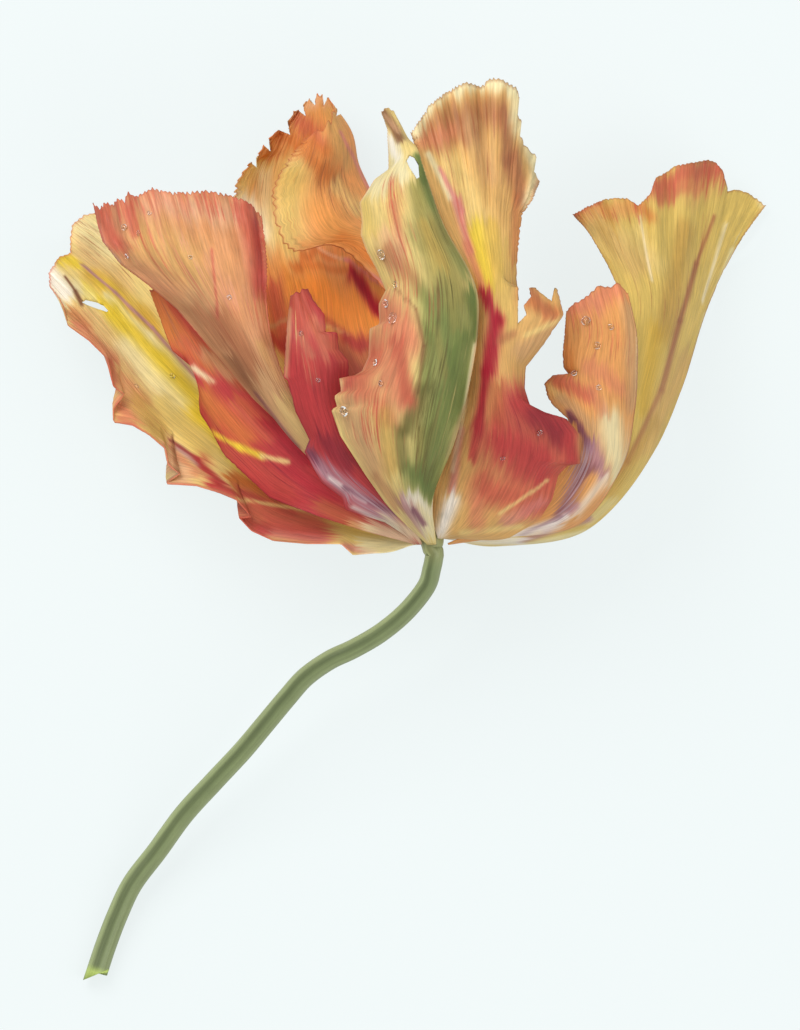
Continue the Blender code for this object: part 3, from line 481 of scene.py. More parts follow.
            ("plum", (320, 465), (400, 525), 14, 0.6), ("white", (325, 472), (395, 522), 9, 0.4),
        ),
        "margin": ("wine", 0.2, 0.3),
    },
    "right_side_lobe": {
        "ground": "apricot",
        "tone": 0.98,
        "washes": (
            ("salmon", (575, 306), (615, 294), 14, 0.85), ("apricot", (580, 330), (610, 350), 14, 0.6),
            ("orange", (564, 330), (568, 372), 5, 0.5), ("salmon", (590, 366), (620, 390), 8, 0.6),
            ("tan", (630, 310), (633, 402), 7, 0.85), ("cream", (638, 328), (637, 412), 2, 0.9),
            ("cream", (610, 424), (618, 472), 14, 0.92), ("coral", (556, 380), (586, 392), 8, 0.75),
            ("butter", (550, 388), (560, 398), 4, 0.6), ("tan", (562, 402), (590, 424), 7, 0.8),
            ("salmon", (590, 386), (602, 416), 5, 0.5), ("plum", (570, 420), (590, 444), 5, 0.85),
            ("mauve", (592, 440), (600, 476), 6, 0.85), ("plum", (585, 446), (592, 470), 5, 0.5),
            ("plum", (585, 466), (564, 510), 6, 0.75),
            ("white", (602, 484), (575, 515), 5, 0.7), ("mauve", (575, 506), (545, 530), 4, 0.75),
            ("white", (566, 517), (500, 539), 4, 0.85), ("plum", (560, 516), (520, 535), 2, 0.5),
            ("white", (556, 526), (516, 538), 5, 0.7),
        ),
        "streaks": (
            ("coral", (570, 306), (616, 350), 22, 0.6), ("umber", (590, 356), (620, 400), 16, 0.5),
            ("plum", (592, 440), (560, 515), 12, 0.7), ("white", (590, 450), (566, 515), 9, 0.4),
        ),
        "margin": ("umber", 0.4, 0.6),
    },
    "left_side_lobe": {
        "ground": "red",
        "tone": 1.0,
        "washes": (
            ("orange", (152, 294), (176, 340), 12, 0.9), ("orange", (166, 322), (210, 362), 12, 0.8),
            ("sienna", (210, 350), (236, 380), 9, 0.7),
            ("coral", (180, 340), (200, 350), 6, 0.5), ("tan", (206, 352), (228, 372), 7, 0.7),
            ("cream", (193, 367), (212, 382), 3, 0.9), ("sienna", (201, 390), (216, 426), 6, 0.7),
            ("orange", (206, 394), (246, 438), 11, 0.8), ("red", (222, 390), (252, 414), 8, 0.8),
            ("orange", (240, 402), (268, 436), 8, 0.5), ("coral", (232, 405), (272, 440), 4, 0.6),
            ("crimson", (264, 422), (302, 458), 7, 0.6), ("sienna", (222, 452), (290, 490), 10, 0.5),
            ("red", (240, 470), (320, 505), 13, 0.6), ("crimson", (290, 470), (330, 500), 8, 0.45),
            ("sienna", (322, 506), (350, 522), 8, 0.7), ("yellow", (210, 431), (240, 447), 2.6, 0.95),
            ("yellow", (240, 447), (262, 456), 3.6, 0.95), ("butter", (262, 456), (288, 462), 2.6, 0.9),
            ("butter", (352, 524), (372, 530), 6, 0.6), ("cream", (370, 528), (412, 540), 9, 0.8),
        ),
        "streaks": (
            ("umber", (160, 310), (220, 370), 16, 0.55), ("wine", (220, 440), (320, 505), 20, 0.5),
            ("orange", (210, 400), (260, 430), 12, 0.4),
        ),
        "margin": ("wine", 0.3, 0.5),
    },
}

# Fineness of the petals and of the lobes: grid cells across and along.
FINE_CELLS = (150, 190)
LOBE_CELLS = (100, 140)

# How far the drawn edges pull on the net, as shares of its width and length. The side waves begin at a
# share of its length and lean across it, in radians.
SIDE_PULL = 0.36
RIM_PULL = 0.3
WAVE_START = 0.3
WAVE_LEAN = 5

# Teeth of each petal in mm: pitch, depth on the rim, depth on the sides.
TEETH = {
    "back_petal": (2.3, 2.2, 1.8), "right_inner_petal": (1.3, 1.0, 0.6),
    "left_front_lobe": (2.4, 1.0, 0.3), "left_inner_petal": (1.35, 1.3, 0.5),
}
USUAL_TEETH = (1.3, 0.5, 0.3)

# Notches go in to a random share of the depth between these two, tips to a small share of theirs, and both
# wander along the edge by a share of a tooth.
NOTCH_SHARES = (0.35, 1.0)
TIP_SHARE = 0.12
TOOTH_WANDER = 0.3

# Teeth fade inward over a share of the petal's length from its rim and of its width from its sides. Those
# of the sides begin at one share of its length and are full one further on. The way outward at an edge
# is taken over a few grid lines.
RIM_TEETH_REACH = 0.12
SIDE_TEETH_REACH = 0.1
SIDE_TEETH_START = 0.3
SIDE_TEETH_RISE = 0.4
OUTWARD_LINES = 3

# The crimp along the veins: height and pitch in mm, its sines' pitches as parts of the first, the most
# that their start is moved, how far and how often they sway, and the shares of the petal's length from
# which it grows towards the rim and by which it has grown from the root.
CRIMP_HEIGHT = 0.06
CRIMP_PITCH = 2.6
CRIMP_PARTS = (1.0, 1.7, 2.9)
CRIMP_START = 6.28
CRIMP_SWAY = (2.5, 5)
CRIMP_RIM = 0.55
CRIMP_ROOT = 0.35

# The blade: its lowest place over the table as a share of its thickness, the share of its thickness left
# at the margin, and how fast it is full again from the sides and from the rim.
BLADE_FLOOR = 0.6
MARGIN_THICKNESS = 0.55
SIDE_FILL = 12
RIM_FILL = 16

# Cuts through the blades on the drawing sheet: the torn tips' holes, the notches of the back petal's rim
# and the gaps of the torn lobe. The grid is drawn most of the way to them, and cells that would meet at
# a corner alone are cleared in a few passes.
CUT_DRAW = 0.8
CLEARING_PASSES = 4
CUTS = {
    "left_outer_petal": (
        [(79, 301), (84, 298), (94, 300), (102, 304), (107, 309), (104, 311), (92, 307), (84, 304)],
    ),
    "front_petal": (
        [(409, 158), (414, 160), (419, 168), (420, 180), (416, 182), (410, 172), (406, 163)],
    ),
    "back_petal": (
        [(238, 150), (254, 136), (256, 165)], [(256, 136), (266, 120), (270, 149)],
        [(270, 124), (285, 104), (289, 131)], [(290, 101), (300, 90), (305, 113)],
        [(304, 91), (313, 80), (315, 103)], [(320, 80), (331, 86), (323, 104)],
        [(338, 98), (348, 108), (335, 114)],
    ),
    "right_inner_petal": (
        [(525, 281), (540, 295), (551, 303), (553, 293), (556, 283), (556, 262), (525, 262)],
        [(517, 262), (525, 279), (531, 297), (523, 307), (526, 316), (517, 325)],
    ),
}

# Pigment ends in feathers between the veins: knots along and across the petal, and the reach in units.
# A coarser drift moves it a little either way: its knots, and its reach.
FEATHERS = ((2, 14, 6.0), (4, 40, 5.0), (6, 85, 3.5))
DRIFT = ((12, 9), 2.0)

# How a stroke fades past its half width. Thin strokes, up to a half width, keep near their drawn line,
# with a share of the feathers' reach.
STROKE_FADE = 0.8
STROKE_POWER = 2.6
THIN_STROKE = 4.0
THIN_SHARE = 0.25

# The margin's pigment ends at this many times its width, and begins at a share of the petal's length.
MARGIN_END = 1.5
MARGIN_START = 0.2

# Patterns drawn out along a piece: width and length of a grain in mm, the noise's detail and roughness,
# and the pattern's own place in the noise. The middle of the noise is spread over a range of tones of the
# colour.
STREAKS = (0.55, 20.0, 6.0, 0.7, 0)
VEINS = (0.3, 7.0, 4.0, 0.65, 5)
CLOUDS = (7.0, 12.0, 3.0, 0.6, 9)
STEM_RIBS = (0.5, 30.0, 4.0, 0.6, 2)
STEM_SPECKS = (1.4, 5.0, 4.0, 0.6, 8)
GRAIN_WAY = (1.0, 3.1, 0.7)
GRAIN_TWIST = 0.25
NOISE_MIDDLE = (0.3, 0.7)
VEIN_TONES = (0.78, 1.2)
CLOUD_TONES = (0.93, 1.06)
RIB_TONES = (0.84, 1.13)
SPECK_TONES = (0.93, 1.07)

# Streaks of pigment show where their noise passes a level, which is lower where they are dense: the level
# with none, its fall, the gain past it, the most cover, and the densities between which they come in.
STREAK_LEVEL = 0.7
STREAK_FALL = 0.34
STREAK_GAIN = 8.0
STREAK_COVER = 0.85
STREAK_DENSITIES = (0.03, 0.3)

# Petal tissue: how high the streaks stand to the veins, strength and depth in metres of its ribs, its
# gloss, and the share of light that passes through it.
STREAK_HEIGHT = 0.6
PETAL_RIBS = (0.55, 0.18 * MM)
PETAL_ROUGHNESS = 0.5
PETAL_SPECULAR = 0.4
PETAL_IOR = 1.42
PETAL_GLOW = 0.42

# Stem skin, in the same way, and its greens.
STEM_BUMP = (0.4, 0.15 * MM)
STEM_ROUGHNESS = 0.42
STEM_SPECULAR = 0.45
STEM_IOR = 1.45
STEM_GREENS = {"neck": "#8E8650", "side": "#3E4726", "middle": "#626C46", "light": "#929B6C",
               "cut": "#98A954"}

# Where the stem's greens lie. The dark band is left of the top and ends past its width, both as shares of
# the radius, and fades in with the height. The right side has painted shade, both flanks are painted
# lighter as lit, and the neck and the cut end have lengths in mm.
BAND_PLACE = 0.25
BAND_WIDTH = 0.3
BAND_END = 1.5
BAND_RISE = 2
FLANK_SPREAD = 1.3
FLANK_START = 0.2
SHADE_SPREAD = 1.4
NECK_LENGTH = 11.0
CUT_LENGTH = 2.2

# The washes on the stem, in their order: place, green, strength. The right side's wash is painted shade
# and the flanks' washes are painted light.
STEM_WASHES = (("right_side", "side", 0.2), ("left_lit_flank", "light", 0.6), ("right_lit_flank", "light", 0.45),
               ("band", "side", 0.7), ("neck", "neck", 0.85), ("cut", "cut", 0.9))

# The pistil: sheet levels and radii in mm up its ovary, then its stigma, its lobes and their depth as a
# share of the radius.
PISTIL_PROFILE = ((519.0, 0.9), (510.0, 1.5), (495.0, 2.0), (470.0, 2.1), (446.0, 1.7), (436.0, 1.3))
STIGMA_LEVEL = (436.0, 427.0)
STIGMA_REACH = 2.6
STIGMA_TOP = 0.6 * STIGMA_REACH
PISTIL_SIDES = 36
PISTIL_RINGS = 60
PISTIL_LOBES = (3, 0.16)
PISTIL_GREEN = "#C9CE7A"
PISTIL_ROUGHNESS = 0.5

# The stamens: radius from the axis in mm and sheet level of three places up a filament, how far out the
# anther leans and the radii in mm, and the anther's length in sheet units.
STAMEN_COUNT = 6
STAMEN_FOOT = (1.9, 520.0)
STAMEN_MIDDLE = (4.2, 492.0)
STAMEN_HEAD = (5.4, 466.0)
STAMEN_LEAN = 0.6
FILAMENT_RADIUS = 0.45
ANTHER_LENGTH = 44.0
ANTHER_RADIUS = 0.95
STAMEN_SIDES = 20
STAMEN_RINGS = 48
ANTHER_BROWN = "#3A2233"
ANTHER_ROUGHNESS = 0.85

# Dew: each drop is a petal, its place across and along the blade from 0 to 1, and its radius in mm before
# growth. Drops are flattened, and their middle stands over the blade by a share of the radius.
DROP_GROWTH = 1.3
DROP_FLATNESS = 0.55
DROP_RISE = 0.42
DROP_SIDES = 20
DROP_LEVELS = 10
WATER_ROUGHNESS = 0.03
WATER_IOR = 1.33
DEW = (
    ("left_inner_petal", 0.18, 0.93, 0.55), ("left_inner_petal", 0.26, 0.9, 0.4),
    ("left_inner_petal", 0.12, 0.86, 0.45), ("left_inner_petal", 0.35, 0.95, 0.35),
    ("left_inner_petal", 0.5, 0.83, 0.35), ("left_inner_petal", 0.66, 0.72, 0.4),
    ("front_petal", 0.16, 0.56, 0.9), ("front_petal", 0.2, 0.5, 0.6), ("front_petal", 0.12, 0.47, 0.7),
    ("front_petal", 0.22, 0.44, 1.0), ("front_petal", 0.14, 0.37, 0.6), ("front_petal", 0.3, 0.33, 0.5),
    ("front_petal", 0.1, 0.28, 0.9), ("right_side_lobe", 0.3, 0.9, 0.8),
    ("right_side_lobe", 0.45, 0.8, 0.6), ("right_side_lobe", 0.25, 0.72, 0.5),
    ("right_side_lobe", 0.62, 0.86, 0.5), ("right_side_lobe", 0.5, 0.66, 0.45),
    ("left_front_lobe", 0.35, 0.8, 0.4),
    ("left_front_lobe", 0.5, 0.6, 0.35), ("right_inner_petal", 0.75, 0.36, 0.5),
    ("right_inner_petal", 0.5, 0.3, 0.4), ("left_outer_petal", 0.6, 0.62, 0.5),
    ("left_outer_petal", 0.5, 0.48, 0.4), ("left_outer_petal", 0.35, 0.7, 0.4),
)

# The table, in metres, the share of its colour that it returns, and how strongly it glows.
TABLE_HALF = 1.2
TABLE_LEVEL = -0.2 * MM
TABLE_COLOUR = "#F1F8F8"
TABLE_SHARE = 0.1
TABLE_GLOW = 0.84
TABLE_ROUGHNESS = 0.9

# Lights: place, size in metres, power in watts. Both look at the bloom.
KEY_LIGHT = ((-0.45, 0.55, 0.9), 0.7, 12.5)
FILL_LIGHT = ((0.6, -0.3, 0.9), 0.9, 6.5)
LIGHT_AIM = (0.0, 0.02, 0.04)
AIR_COLOUR = "#F4F8F8"
AIR_STRENGTH = 0.9

# The camera: the picture in sheet units, and distances in metres.
PICTURE_HEIGHT = 1030.0
PICTURE_MIDDLE = (400.0, 515.0)
SHARP_HEIGHT = 0.045
CAMERA_DISTANCE = 4.0
CAMERA_REACH = 20.0
SENSOR_HEIGHT = 24.0

# Each petal's drawing, slot and fineness, in the order that they are made in. Each has its own random
# draws and its own place in the noise.
PETALS = {
    "front_petal": (FRONT_PETAL, "green_flame_petal", FINE_CELLS),
    "right_inner_petal": (RIGHT_INNER_PETAL, "yellow_petal", FINE_CELLS),
    "right_outer_petal": (RIGHT_OUTER_PETAL, "yellow_petal", FINE_CELLS),
    "back_petal": (BACK_PETAL, "orange_petal", FINE_CELLS),
    "left_outer_petal": (LEFT_OUTER_PETAL, "yellow_petal", FINE_CELLS),
    "left_inner_petal": (LEFT_INNER_PETAL, "orange_petal", FINE_CELLS),
    "left_front_lobe": (LEFT_FRONT_LOBE, "red_petal", LOBE_CELLS),
    "right_side_lobe": (RIGHT_SIDE_LOBE, "orange_petal", LOBE_CELLS),
    "left_side_lobe": (LEFT_SIDE_LOBE, "red_petal", LOBE_CELLS),
}
FIRST_SEED = 40
NOISE_STEP = 11.0


def seen(hex_colour):
    """An sRGB hex code as three values from 0 to 1, as the eye takes them."""
    return np.array([int(hex_colour[i:i + 2], 16) / 255 for i in (1, 3, 5)])


def to_linear(values):
    """Colours as the eye takes them, turned to linear light by the sRGB curve: a power, and a straight
    line for the darkest."""
    return np.where(values > 0.04045, ((values + 0.055) / 1.055) ** 2.4, values / 12.92)


def linear(hex_colour):
    """The linear colour of an sRGB hex code, with full alpha."""
    return tuple(to_linear(seen(hex_colour))) + (1.0,)


def placed(points):
    """Sheet points (across, down, height in mm) as metres in the frame."""
    points = np.asarray(points, dtype=float)
    x = (points[..., 0] - SHEET_MIDDLE[0]) * UNIT
    y = (SHEET_MIDDLE[1] - points[..., 1]) * UNIT
    return np.stack([x, y, points[..., 2] * MM], axis=-1)


def on_sheet(surface):
    """Where points of the frame in metres lie on the drawing sheet."""
    return np.stack([surface[..., 0] / UNIT + SHEET_MIDDLE[0],
                     SHEET_MIDDLE[1] - surface[..., 1] / UNIT], -1)


def smooth_curve(points, count):
    """Count + 1 points on the smooth curve through the given ones, even in their index: between two of
    them a cubic whose slopes follow their neighbours."""
    points = np.asarray(points, dtype=float)
    padded = np.concatenate([[2 * points[0] - points[1]], points, [2 * points[-1] - points[-2]]])
    place = np.linspace(0, len(points) - 1, count + 1)
    step = np.minimum(place.astype(int), len(points) - 2)
    part = (place - step).reshape((-1,) + (1,) * (points.ndim - 1))
    a, b, c, d = (padded[step + k] for k in range(4))
    return b + 0.5 * part * (c - a + part * (2 * a - 5 * b + 4 * c - d
                                             + part * (3 * (b - c) + d - a)))


def ease(value):
    """A soft step from 0 to 1: three times the square less twice the cube of a value kept in it."""
    value = np.clip(value, 0, 1)
    return value * value * (3 - 2 * value)


def unit(vectors):
    """Vectors made one long."""
    return vectors / np.maximum(np.linalg.norm(vectors, axis=-1, keepdims=True), TINY)


def run_length(points):
    """The length of a line of points in mm."""
    return np.linalg.norm(np.diff(points, axis=0), axis=1).sum() / MM


def grid_places(rows, columns):
    """Places across (u) and along (v) a grid from 0 to 1, as a row and a column."""
    return np.linspace(0, 1, columns)[None, :], np.linspace(0, 1, rows)[:, None]


def ring_point(radius, degrees, down):
    """The sheet point at an azimuth round the flower's axis; 90 degrees faces up from the table."""
    turn = math.radians(degrees)
    across = AXIS_ACROSS + radius * MM / UNIT * math.cos(turn)
    return (across, down, AXIS_HEIGHT + radius * math.sin(turn))


def root_row(root, columns):
    """A petal's root: an arc of points on its ring round the receptacle."""
    (radius, down), first, last = root
    return [ring_point(radius, first + (last - first) * i / (columns - 1), down)
            for i in range(columns)]


def edge_shift(curve, outline):
    """How far each point of a net's edge lies from the drawn outline, matched by the nearest place."""
    if outline is None:
        return np.zeros_like(curve)
    outline = np.asarray(outline, dtype=float)
    place = np.arange(len(curve), dtype=float)
    fine = np.linspace(0, len(curve) - 1, TRACK_PLACES * len(curve))
    track = np.stack([np.interp(fine, place, curve[:, k]) for k in (0, 1)], axis=1)
    gap = np.hypot(outline[:, None, 0] - track[None, :, 0], outline[:, None, 1] - track[None, :, 1])
    met = fine[gap.argmin(axis=1)]
    met[0], met[-1] = 0, place[-1]
    for k in range(1, len(met)):
        met[k] = max(met[k], met[k - 1] + LEAST_STEP * place[-1])
    shift = np.zeros_like(curve)
    shift[:, 0] = np.interp(place, met, outline[:, 0]) - curve[:, 0]
    shift[:, 1] = np.interp(place, met, outline[:, 1]) - curve[:, 1]
    return shift


def petal_net(petal, cells):
    """The petal's middle surface on the sheet, (along, across, 3): a smooth net with its cut outline
    and its waves, as in the solids, on a finer grid. The waves are sines along its sides, growing with
    the square of the distance from its middle, and along its rim."""
    across, along = cells
    rows = np.array([root_row(petal["root"], len(petal["rows"][0]))] + list(petal["rows"]), float)
    net = smooth_curve(rows, along)
    net = np.swapaxes(smooth_curve(np.swapaxes(net, 0, 1), across), 0, 1)
    u, v = grid_places(along + 1, across + 1)
    first = int(np.ceil(along / len(petal["rows"])))
    left, right = np.zeros((along + 1, 3)), np.zeros((along + 1, 3))
    left[first:] = edge_shift(net[first:, 0], petal.get("left"))
    right[first:] = edge_shift(net[first:, -1], petal.get("right"))
    rim = edge_shift(net[-1], petal.get("rim"))
    near_left = 1 - ease(u / SIDE_PULL)[..., None]
    near_right = 1 - ease((1 - u) / SIDE_PULL)[..., None]
    near_rim = ease((v - 1 + RIM_PULL) / RIM_PULL)[..., None]
    shift = left[:, None] * near_left + right[:, None] * near_right + rim[None] * near_rim
    shift -= near_rim * (left[-1] * near_left + right[-1] * near_right)
    net = net + shift
    side_count, rim_count, height = petal["waves"]
    side = (2 * np.abs(u - 0.5)) ** 2 * ease(v / WAVE_START)
    lift = np.sin(2 * math.pi * side_count * v + WAVE_LEAN * u) * side
    lift = lift + np.sin(2 * math.pi * rim_count * u) * near_rim[..., 0]
    net[..., 2] = np.maximum(net[..., 2] + height * lift, REST_LIFT)
    return net


def tooth_cuts(depth, count, places, random):
    """How far an edge is cut in at each place from 0 to 1: a jagged line of straight parts, whose tips,
    one for each of count teeth, stay near the outline and whose notches go in to a random part of the
    depth."""
    cuts = random.uniform(*NOTCH_SHARES, 2 * count + 1)
    cuts[::2] *= TIP_SHARE
    knots = np.linspace(0, 1, len(cuts))
    knots[1:-1] += random.uniform(-TOOTH_WANDER, TOOTH_WANDER, len(cuts) - 2) / len(cuts)
    return np.interp(places, knots, cuts) * depth


def fine_surface(name, random):
    """The petal's middle surface in metres: the net, small teeth cut into its rim and its upper side
    margins, and a fine crimp along the veins, a sum of sines across the petal."""
    petal, _, cells = PETALS[name]
    surface = placed(petal_net(petal, cells))
    pitch, rim_depth, side_depth = TEETH.get(name, USUAL_TEETH)
    u, v = grid_places(*surface.shape[:2])
    rim_run, side_run = run_length(surface[-1]), run_length(surface[:, 0])
    rim_count, side_count = max(3, int(rim_run / pitch)), int(side_run / pitch)
    outward = unit(surface[-1] - surface[-1 - OUTWARD_LINES])
    cuts = tooth_cuts(rim_depth * MM, rim_count, u[0], random)
    near = ease((v - 1 + RIM_TEETH_REACH) / RIM_TEETH_REACH)
    surface = surface - (near * cuts[None])[..., None] * outward[None]
    for column, inner, inward in ((0, OUTWARD_LINES, u), (-1, -1 - OUTWARD_LINES, 1 - u)):
        away = unit(surface[:, column] - surface[:, inner])
        cuts = tooth_cuts(side_depth * MM, side_count, v[:, 0], random)
        cuts *= ease((v[:, 0] - SIDE_TEETH_START) / SIDE_TEETH_RISE)
        near = ease(1 - inward / SIDE_TEETH_REACH)
        surface = surface - (near * cuts[:, None])[..., None] * away[:, None]
    margin = np.maximum(ease((v - CRIMP_RIM) / (1 - CRIMP_RIM)), (2 * np.abs(u - 0.5)) ** 3)
    margin = margin * ease(v / CRIMP_ROOT)
    crimp = np.zeros_like(margin)
    sway, bends = CRIMP_SWAY
    for part in CRIMP_PARTS:
        turns = rim_run / CRIMP_PITCH * part
        start = random.uniform(0, CRIMP_START)
        crimp += np.sin(2 * math.pi * turns * u + start + sway * np.sin(bends * v + start)) / part
    surface = surface + blade_normals(surface) * (crimp * margin * CRIMP_HEIGHT * MM)[..., None]
    surface[..., 2] = np.maximum(surface[..., 2], BLADE_FLOOR * BLADE)
    return surface


def blade_normals(surface):
    """Unit normals of a grid surface: the cross product of its slopes across and along."""
    return unit(np.cross(np.gradient(surface, axis=1), np.gradient(surface, axis=0)))


def inside(points, corners):
    """Which sheet points lie inside an outline: those whose level line crosses it an odd number of
    times."""
    x, y = points[..., 0], points[..., 1]
    odd = np.zeros(x.shape, bool)
    for (x1, y1), (x2, y2) in zip(corners, corners[1:] + corners[:1]):
        if y1 != y2:
            meets = (y1 > y) != (y2 > y)
            odd ^= meets & (x < (x2 - x1) * (y - y1) / (y2 - y1) + x1)
    return odd


def kept_cells(surface, cuts):
    """Which cells of a petal's grid stay: all but those inside a cut, and no two that meet at a corner
    alone, so that the blade stays sound."""
    sheet = on_sheet(surface)
    centres = (sheet[:-1, :-1] + sheet[1:, 1:]) / 2
    kept = np.ones(centres.shape[:2], bool)
    for corners in cuts:
        kept &= ~inside(centres, corners)
    for _ in range(CLEARING_PASSES):
        one = kept[:-1, :-1] & kept[1:, 1:] & ~kept[:-1, 1:] & ~kept[1:, :-1]
        other = ~kept[:-1, :-1] & ~kept[1:, 1:] & kept[:-1, 1:] & kept[1:, :-1]
        kept[:-1, :-1] &= ~one
        kept[:-1, 1:] &= ~other
    return kept


def nearest_on(outline, points):
    """The nearest place on a closed outline for each sheet point."""
    start = np.array(outline, float)
    way = np.roll(start, -1, axis=0) - start
    gap = points[:, None] - start[None]
    share = np.clip((gap * way).sum(-1) / (way * way).sum(-1), 0, 1)
    places = start[None] + way[None] * share[..., None]
    best = np.linalg.norm(points[:, None] - places, axis=-1).argmin(axis=1)
    return places[np.arange(len(points)), best]


def drawn_to_cuts(surface, kept, cuts):
    """The surface with the grid points along each cut drawn most of the way to the cut's outline, so
    that the cut is clean."""
    around = np.pad(kept, 1)
    count = around[:-1, :-1].astype(int) + around[1:, :-1] + around[:-1, 1:] + around[1:, 1:]
    border = (count > 0) & (count < 4)
    border[[0, -1]] = False
    border[:, [0, -1]] = False
    if not border.any():
        return surface
    points = on_sheet(surface)[border]
    nearest = np.stack([nearest_on(outline, points) for outline in cuts])
    best = np.linalg.norm(nearest - points, axis=-1).argmin(axis=0)
    shift = (nearest[best, np.arange(len(points))] - points) * CUT_DRAW
    surface[border, 0] += shift[:, 0] * UNIT
    surface[border, 1] -= shift[:, 1] * UNIT
    return surface


def blade_mesh(surface, kept):
    """Vertices, quads and grid places of a closed blade, the surface moved half a thickness along its
    normals either way and less towards its margin, without the cells cut out of it. The last value says
    which of the two faces' grid points are left."""
    rows, columns = surface.shape[:2]
    u, v = grid_places(rows, columns)
    fill = ease(np.minimum(np.minimum(u, 1 - u) * SIDE_FILL, (1 - v) * RIM_FILL))
    half = BLADE / 2 * (MARGIN_THICKNESS + (1 - MARGIN_THICKNESS) * fill)
    offset = blade_normals(surface) * half[..., None]
    points = np.concatenate([(surface + offset).reshape(-1, 3), (surface - offset).reshape(-1, 3)])
    index = np.arange(rows * columns).reshape(rows, columns)
    a, b, c, d = (s.ravel() for s in (index[:-1, :-1], index[:-1, 1:], index[1:, 1:], index[1:, :-1]))
    under = rows * columns
    top = np.stack([a, b, c, d], 1)[kept.ravel()]
    around = np.pad(kept, 1)
    walls = []
    for here, beside, first, second in (
            (around[1:, 1:-1], around[:-1, 1:-1], index[:, :-1], index[:, 1:]),
            (around[1:-1, 1:], around[1:-1, :-1], index[1:], index[:-1])):
        for inner, outer, start, end in ((here, beside, first, second), (beside, here, second, first)):
            edge = inner & ~outer
            start, end = start[edge], end[edge]
            walls.append(np.stack([end, start, start + under, end + under], 1))
    used, faces = np.unique(np.concatenate([top, top[:, ::-1] + under] + walls), return_inverse=True)
    places = np.stack(np.broadcast_arrays(u, v), -1).reshape(-1, 2)
    return points[used], faces.reshape(-1, 4), np.tile(places, (2, 1))[used], used


def stroke_weight(sheet, start, end, half_width):
    """How strongly a soft stroke covers each sheet point: 1 about its line, falling as the exponential of
    a power of the distance in half widths."""
    start, end = np.asarray(start, float), np.asarray(end, float)
    way = end - start
    along = np.clip(((sheet - start) @ way) / max(way @ way, TINY), 0, 1)
    gap = np.linalg.norm(sheet - start - along[:, None] * way, axis=1)
    return np.exp(-STROKE_FADE * (gap / half_width) ** STROKE_POWER)


def smooth_noise(shape, knots, random):
    """Noise from -1 to 1 on a grid: random heights at a coarse net of knots, joined by soft steps."""
    heights = random.uniform(-1, 1, (knots[0] + 2, knots[1] + 2))
    v, u = np.linspace(0, knots[0], shape[0]), np.linspace(0, knots[1], shape[1])
    i, j = v.astype(int), u.astype(int)
    down, over = ease(v - i)[:, None], ease(u - j)[None, :]
    near = heights[i][:, j] * (1 - over) + heights[i][:, j + 1] * over
    far = heights[i + 1][:, j] * (1 - over) + heights[i + 1][:, j + 1] * over
    return near * (1 - down) + far * down


def feathered(sheet, random):
    """Sheet points slid along the veins by noise that is quick across the petal and slow along it, and a
    little either way by a coarse one, so that each wash ends in feathers as pigment between veins does."""
    shape = sheet.shape[:2]
    slide = sum(reach * smooth_noise(shape, (along, across), random) for along, across, reach in FEATHERS)
    knots, reach = DRIFT
    drift = np.stack([smooth_noise(shape, knots, random) for _ in range(2)], -1) * reach
    return sheet + unit(np.gradient(sheet, axis=0)) * slide[..., None] + drift


def edge_nearness(shape, width, length, reach):
    """1 on a petal's rim and upper sides, falling in a soft step to 0 at a distance from them in mm."""
    u, v = grid_places(*shape)
    gap = np.minimum(np.minimum(u, 1 - u) * width, (1 - v) * length)
    return ease(MARGIN_END - gap / reach) * ease((v - MARGIN_START) / MARGIN_START)


def painted(sheet, loose, paint, edge):
    """Ground colours and streak colours of each sheet point, the second with its density as alpha. Broad
    strokes are laid on the loose, feathered points, and thin ones nearer to the true points."""
    margin_pigment, _, margin_strength = paint["margin"]
    layers = []
    for pigment, start, end, half_width, strength in paint["washes"]:
        canvas = loose if half_width > THIN_STROKE else sheet + (loose - sheet) * THIN_SHARE
        layers.append((pigment, stroke_weight(canvas, start, end, half_width) * strength))
    layers.append((margin_pigment, edge * margin_strength))
    ground = np.tile(seen(PIGMENTS[paint["ground"]]), (len(sheet), 1))
    for pigment, weight in layers:
        ground += (seen(PIGMENTS[pigment]) - ground) * weight[:, None]
    streak, density = np.zeros((len(sheet), 3)), np.zeros(len(sheet))
    total = np.full(len(sheet), TINY)
    for pigment, start, end, half_width, most in paint["streaks"]:
        weight = stroke_weight(loose, start, end, half_width)
        streak += weight[:, None] * seen(PIGMENTS[pigment])
        density = np.maximum(density, weight * most)
        total += weight
    # Tone: painted shade on petals open to the light, painted light on the shaded back petal.
    ground = to_linear(ground * paint["tone"])
    streak = to_linear(streak / total[:, None])
    return np.column_stack([ground, np.ones(len(sheet))]), np.column_stack([streak, density])


def new_piece(name, points, faces, material):
    """A smooth object from vertices and faces, turned outward: its faces' signed volumes add up to more
    than 0."""
    mesh = bpy.data.meshes.new(name)
    mesh.from_pydata(points.tolist(), [], faces.tolist())
    corners = points[faces[:, :3]]
    volume = np.einsum("ij,ij->i", corners[:, 0], np.cross(corners[:, 1], corners[:, 2])).sum()
    if volume < 0:
        mesh.flip_normals()
    mesh.polygons.foreach_set("use_smooth", np.ones(len(mesh.polygons), bool))
    mesh.materials.append(material)
    piece = bpy.data.objects.new(name, mesh)
    bpy.context.scene.collection.objects.link(piece)
    return piece


def stand_in(piece, node):
    """Puts a finished piece in its node's place, on the flower's one body."""
    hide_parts(node)
    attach(piece, "root")


def add_map(mesh, places):
    """A UV map in real millimetres: across the piece, then along it."""
    layer = mesh.uv_layers.new(name="grain_mm")
    corner = np.empty(len(mesh.loops), dtype=np.int32)
    mesh.loops.foreach_get("vertex_index", corner)
    layer.data.foreach_set("uv", places[corner].astype(np.float32).ravel())


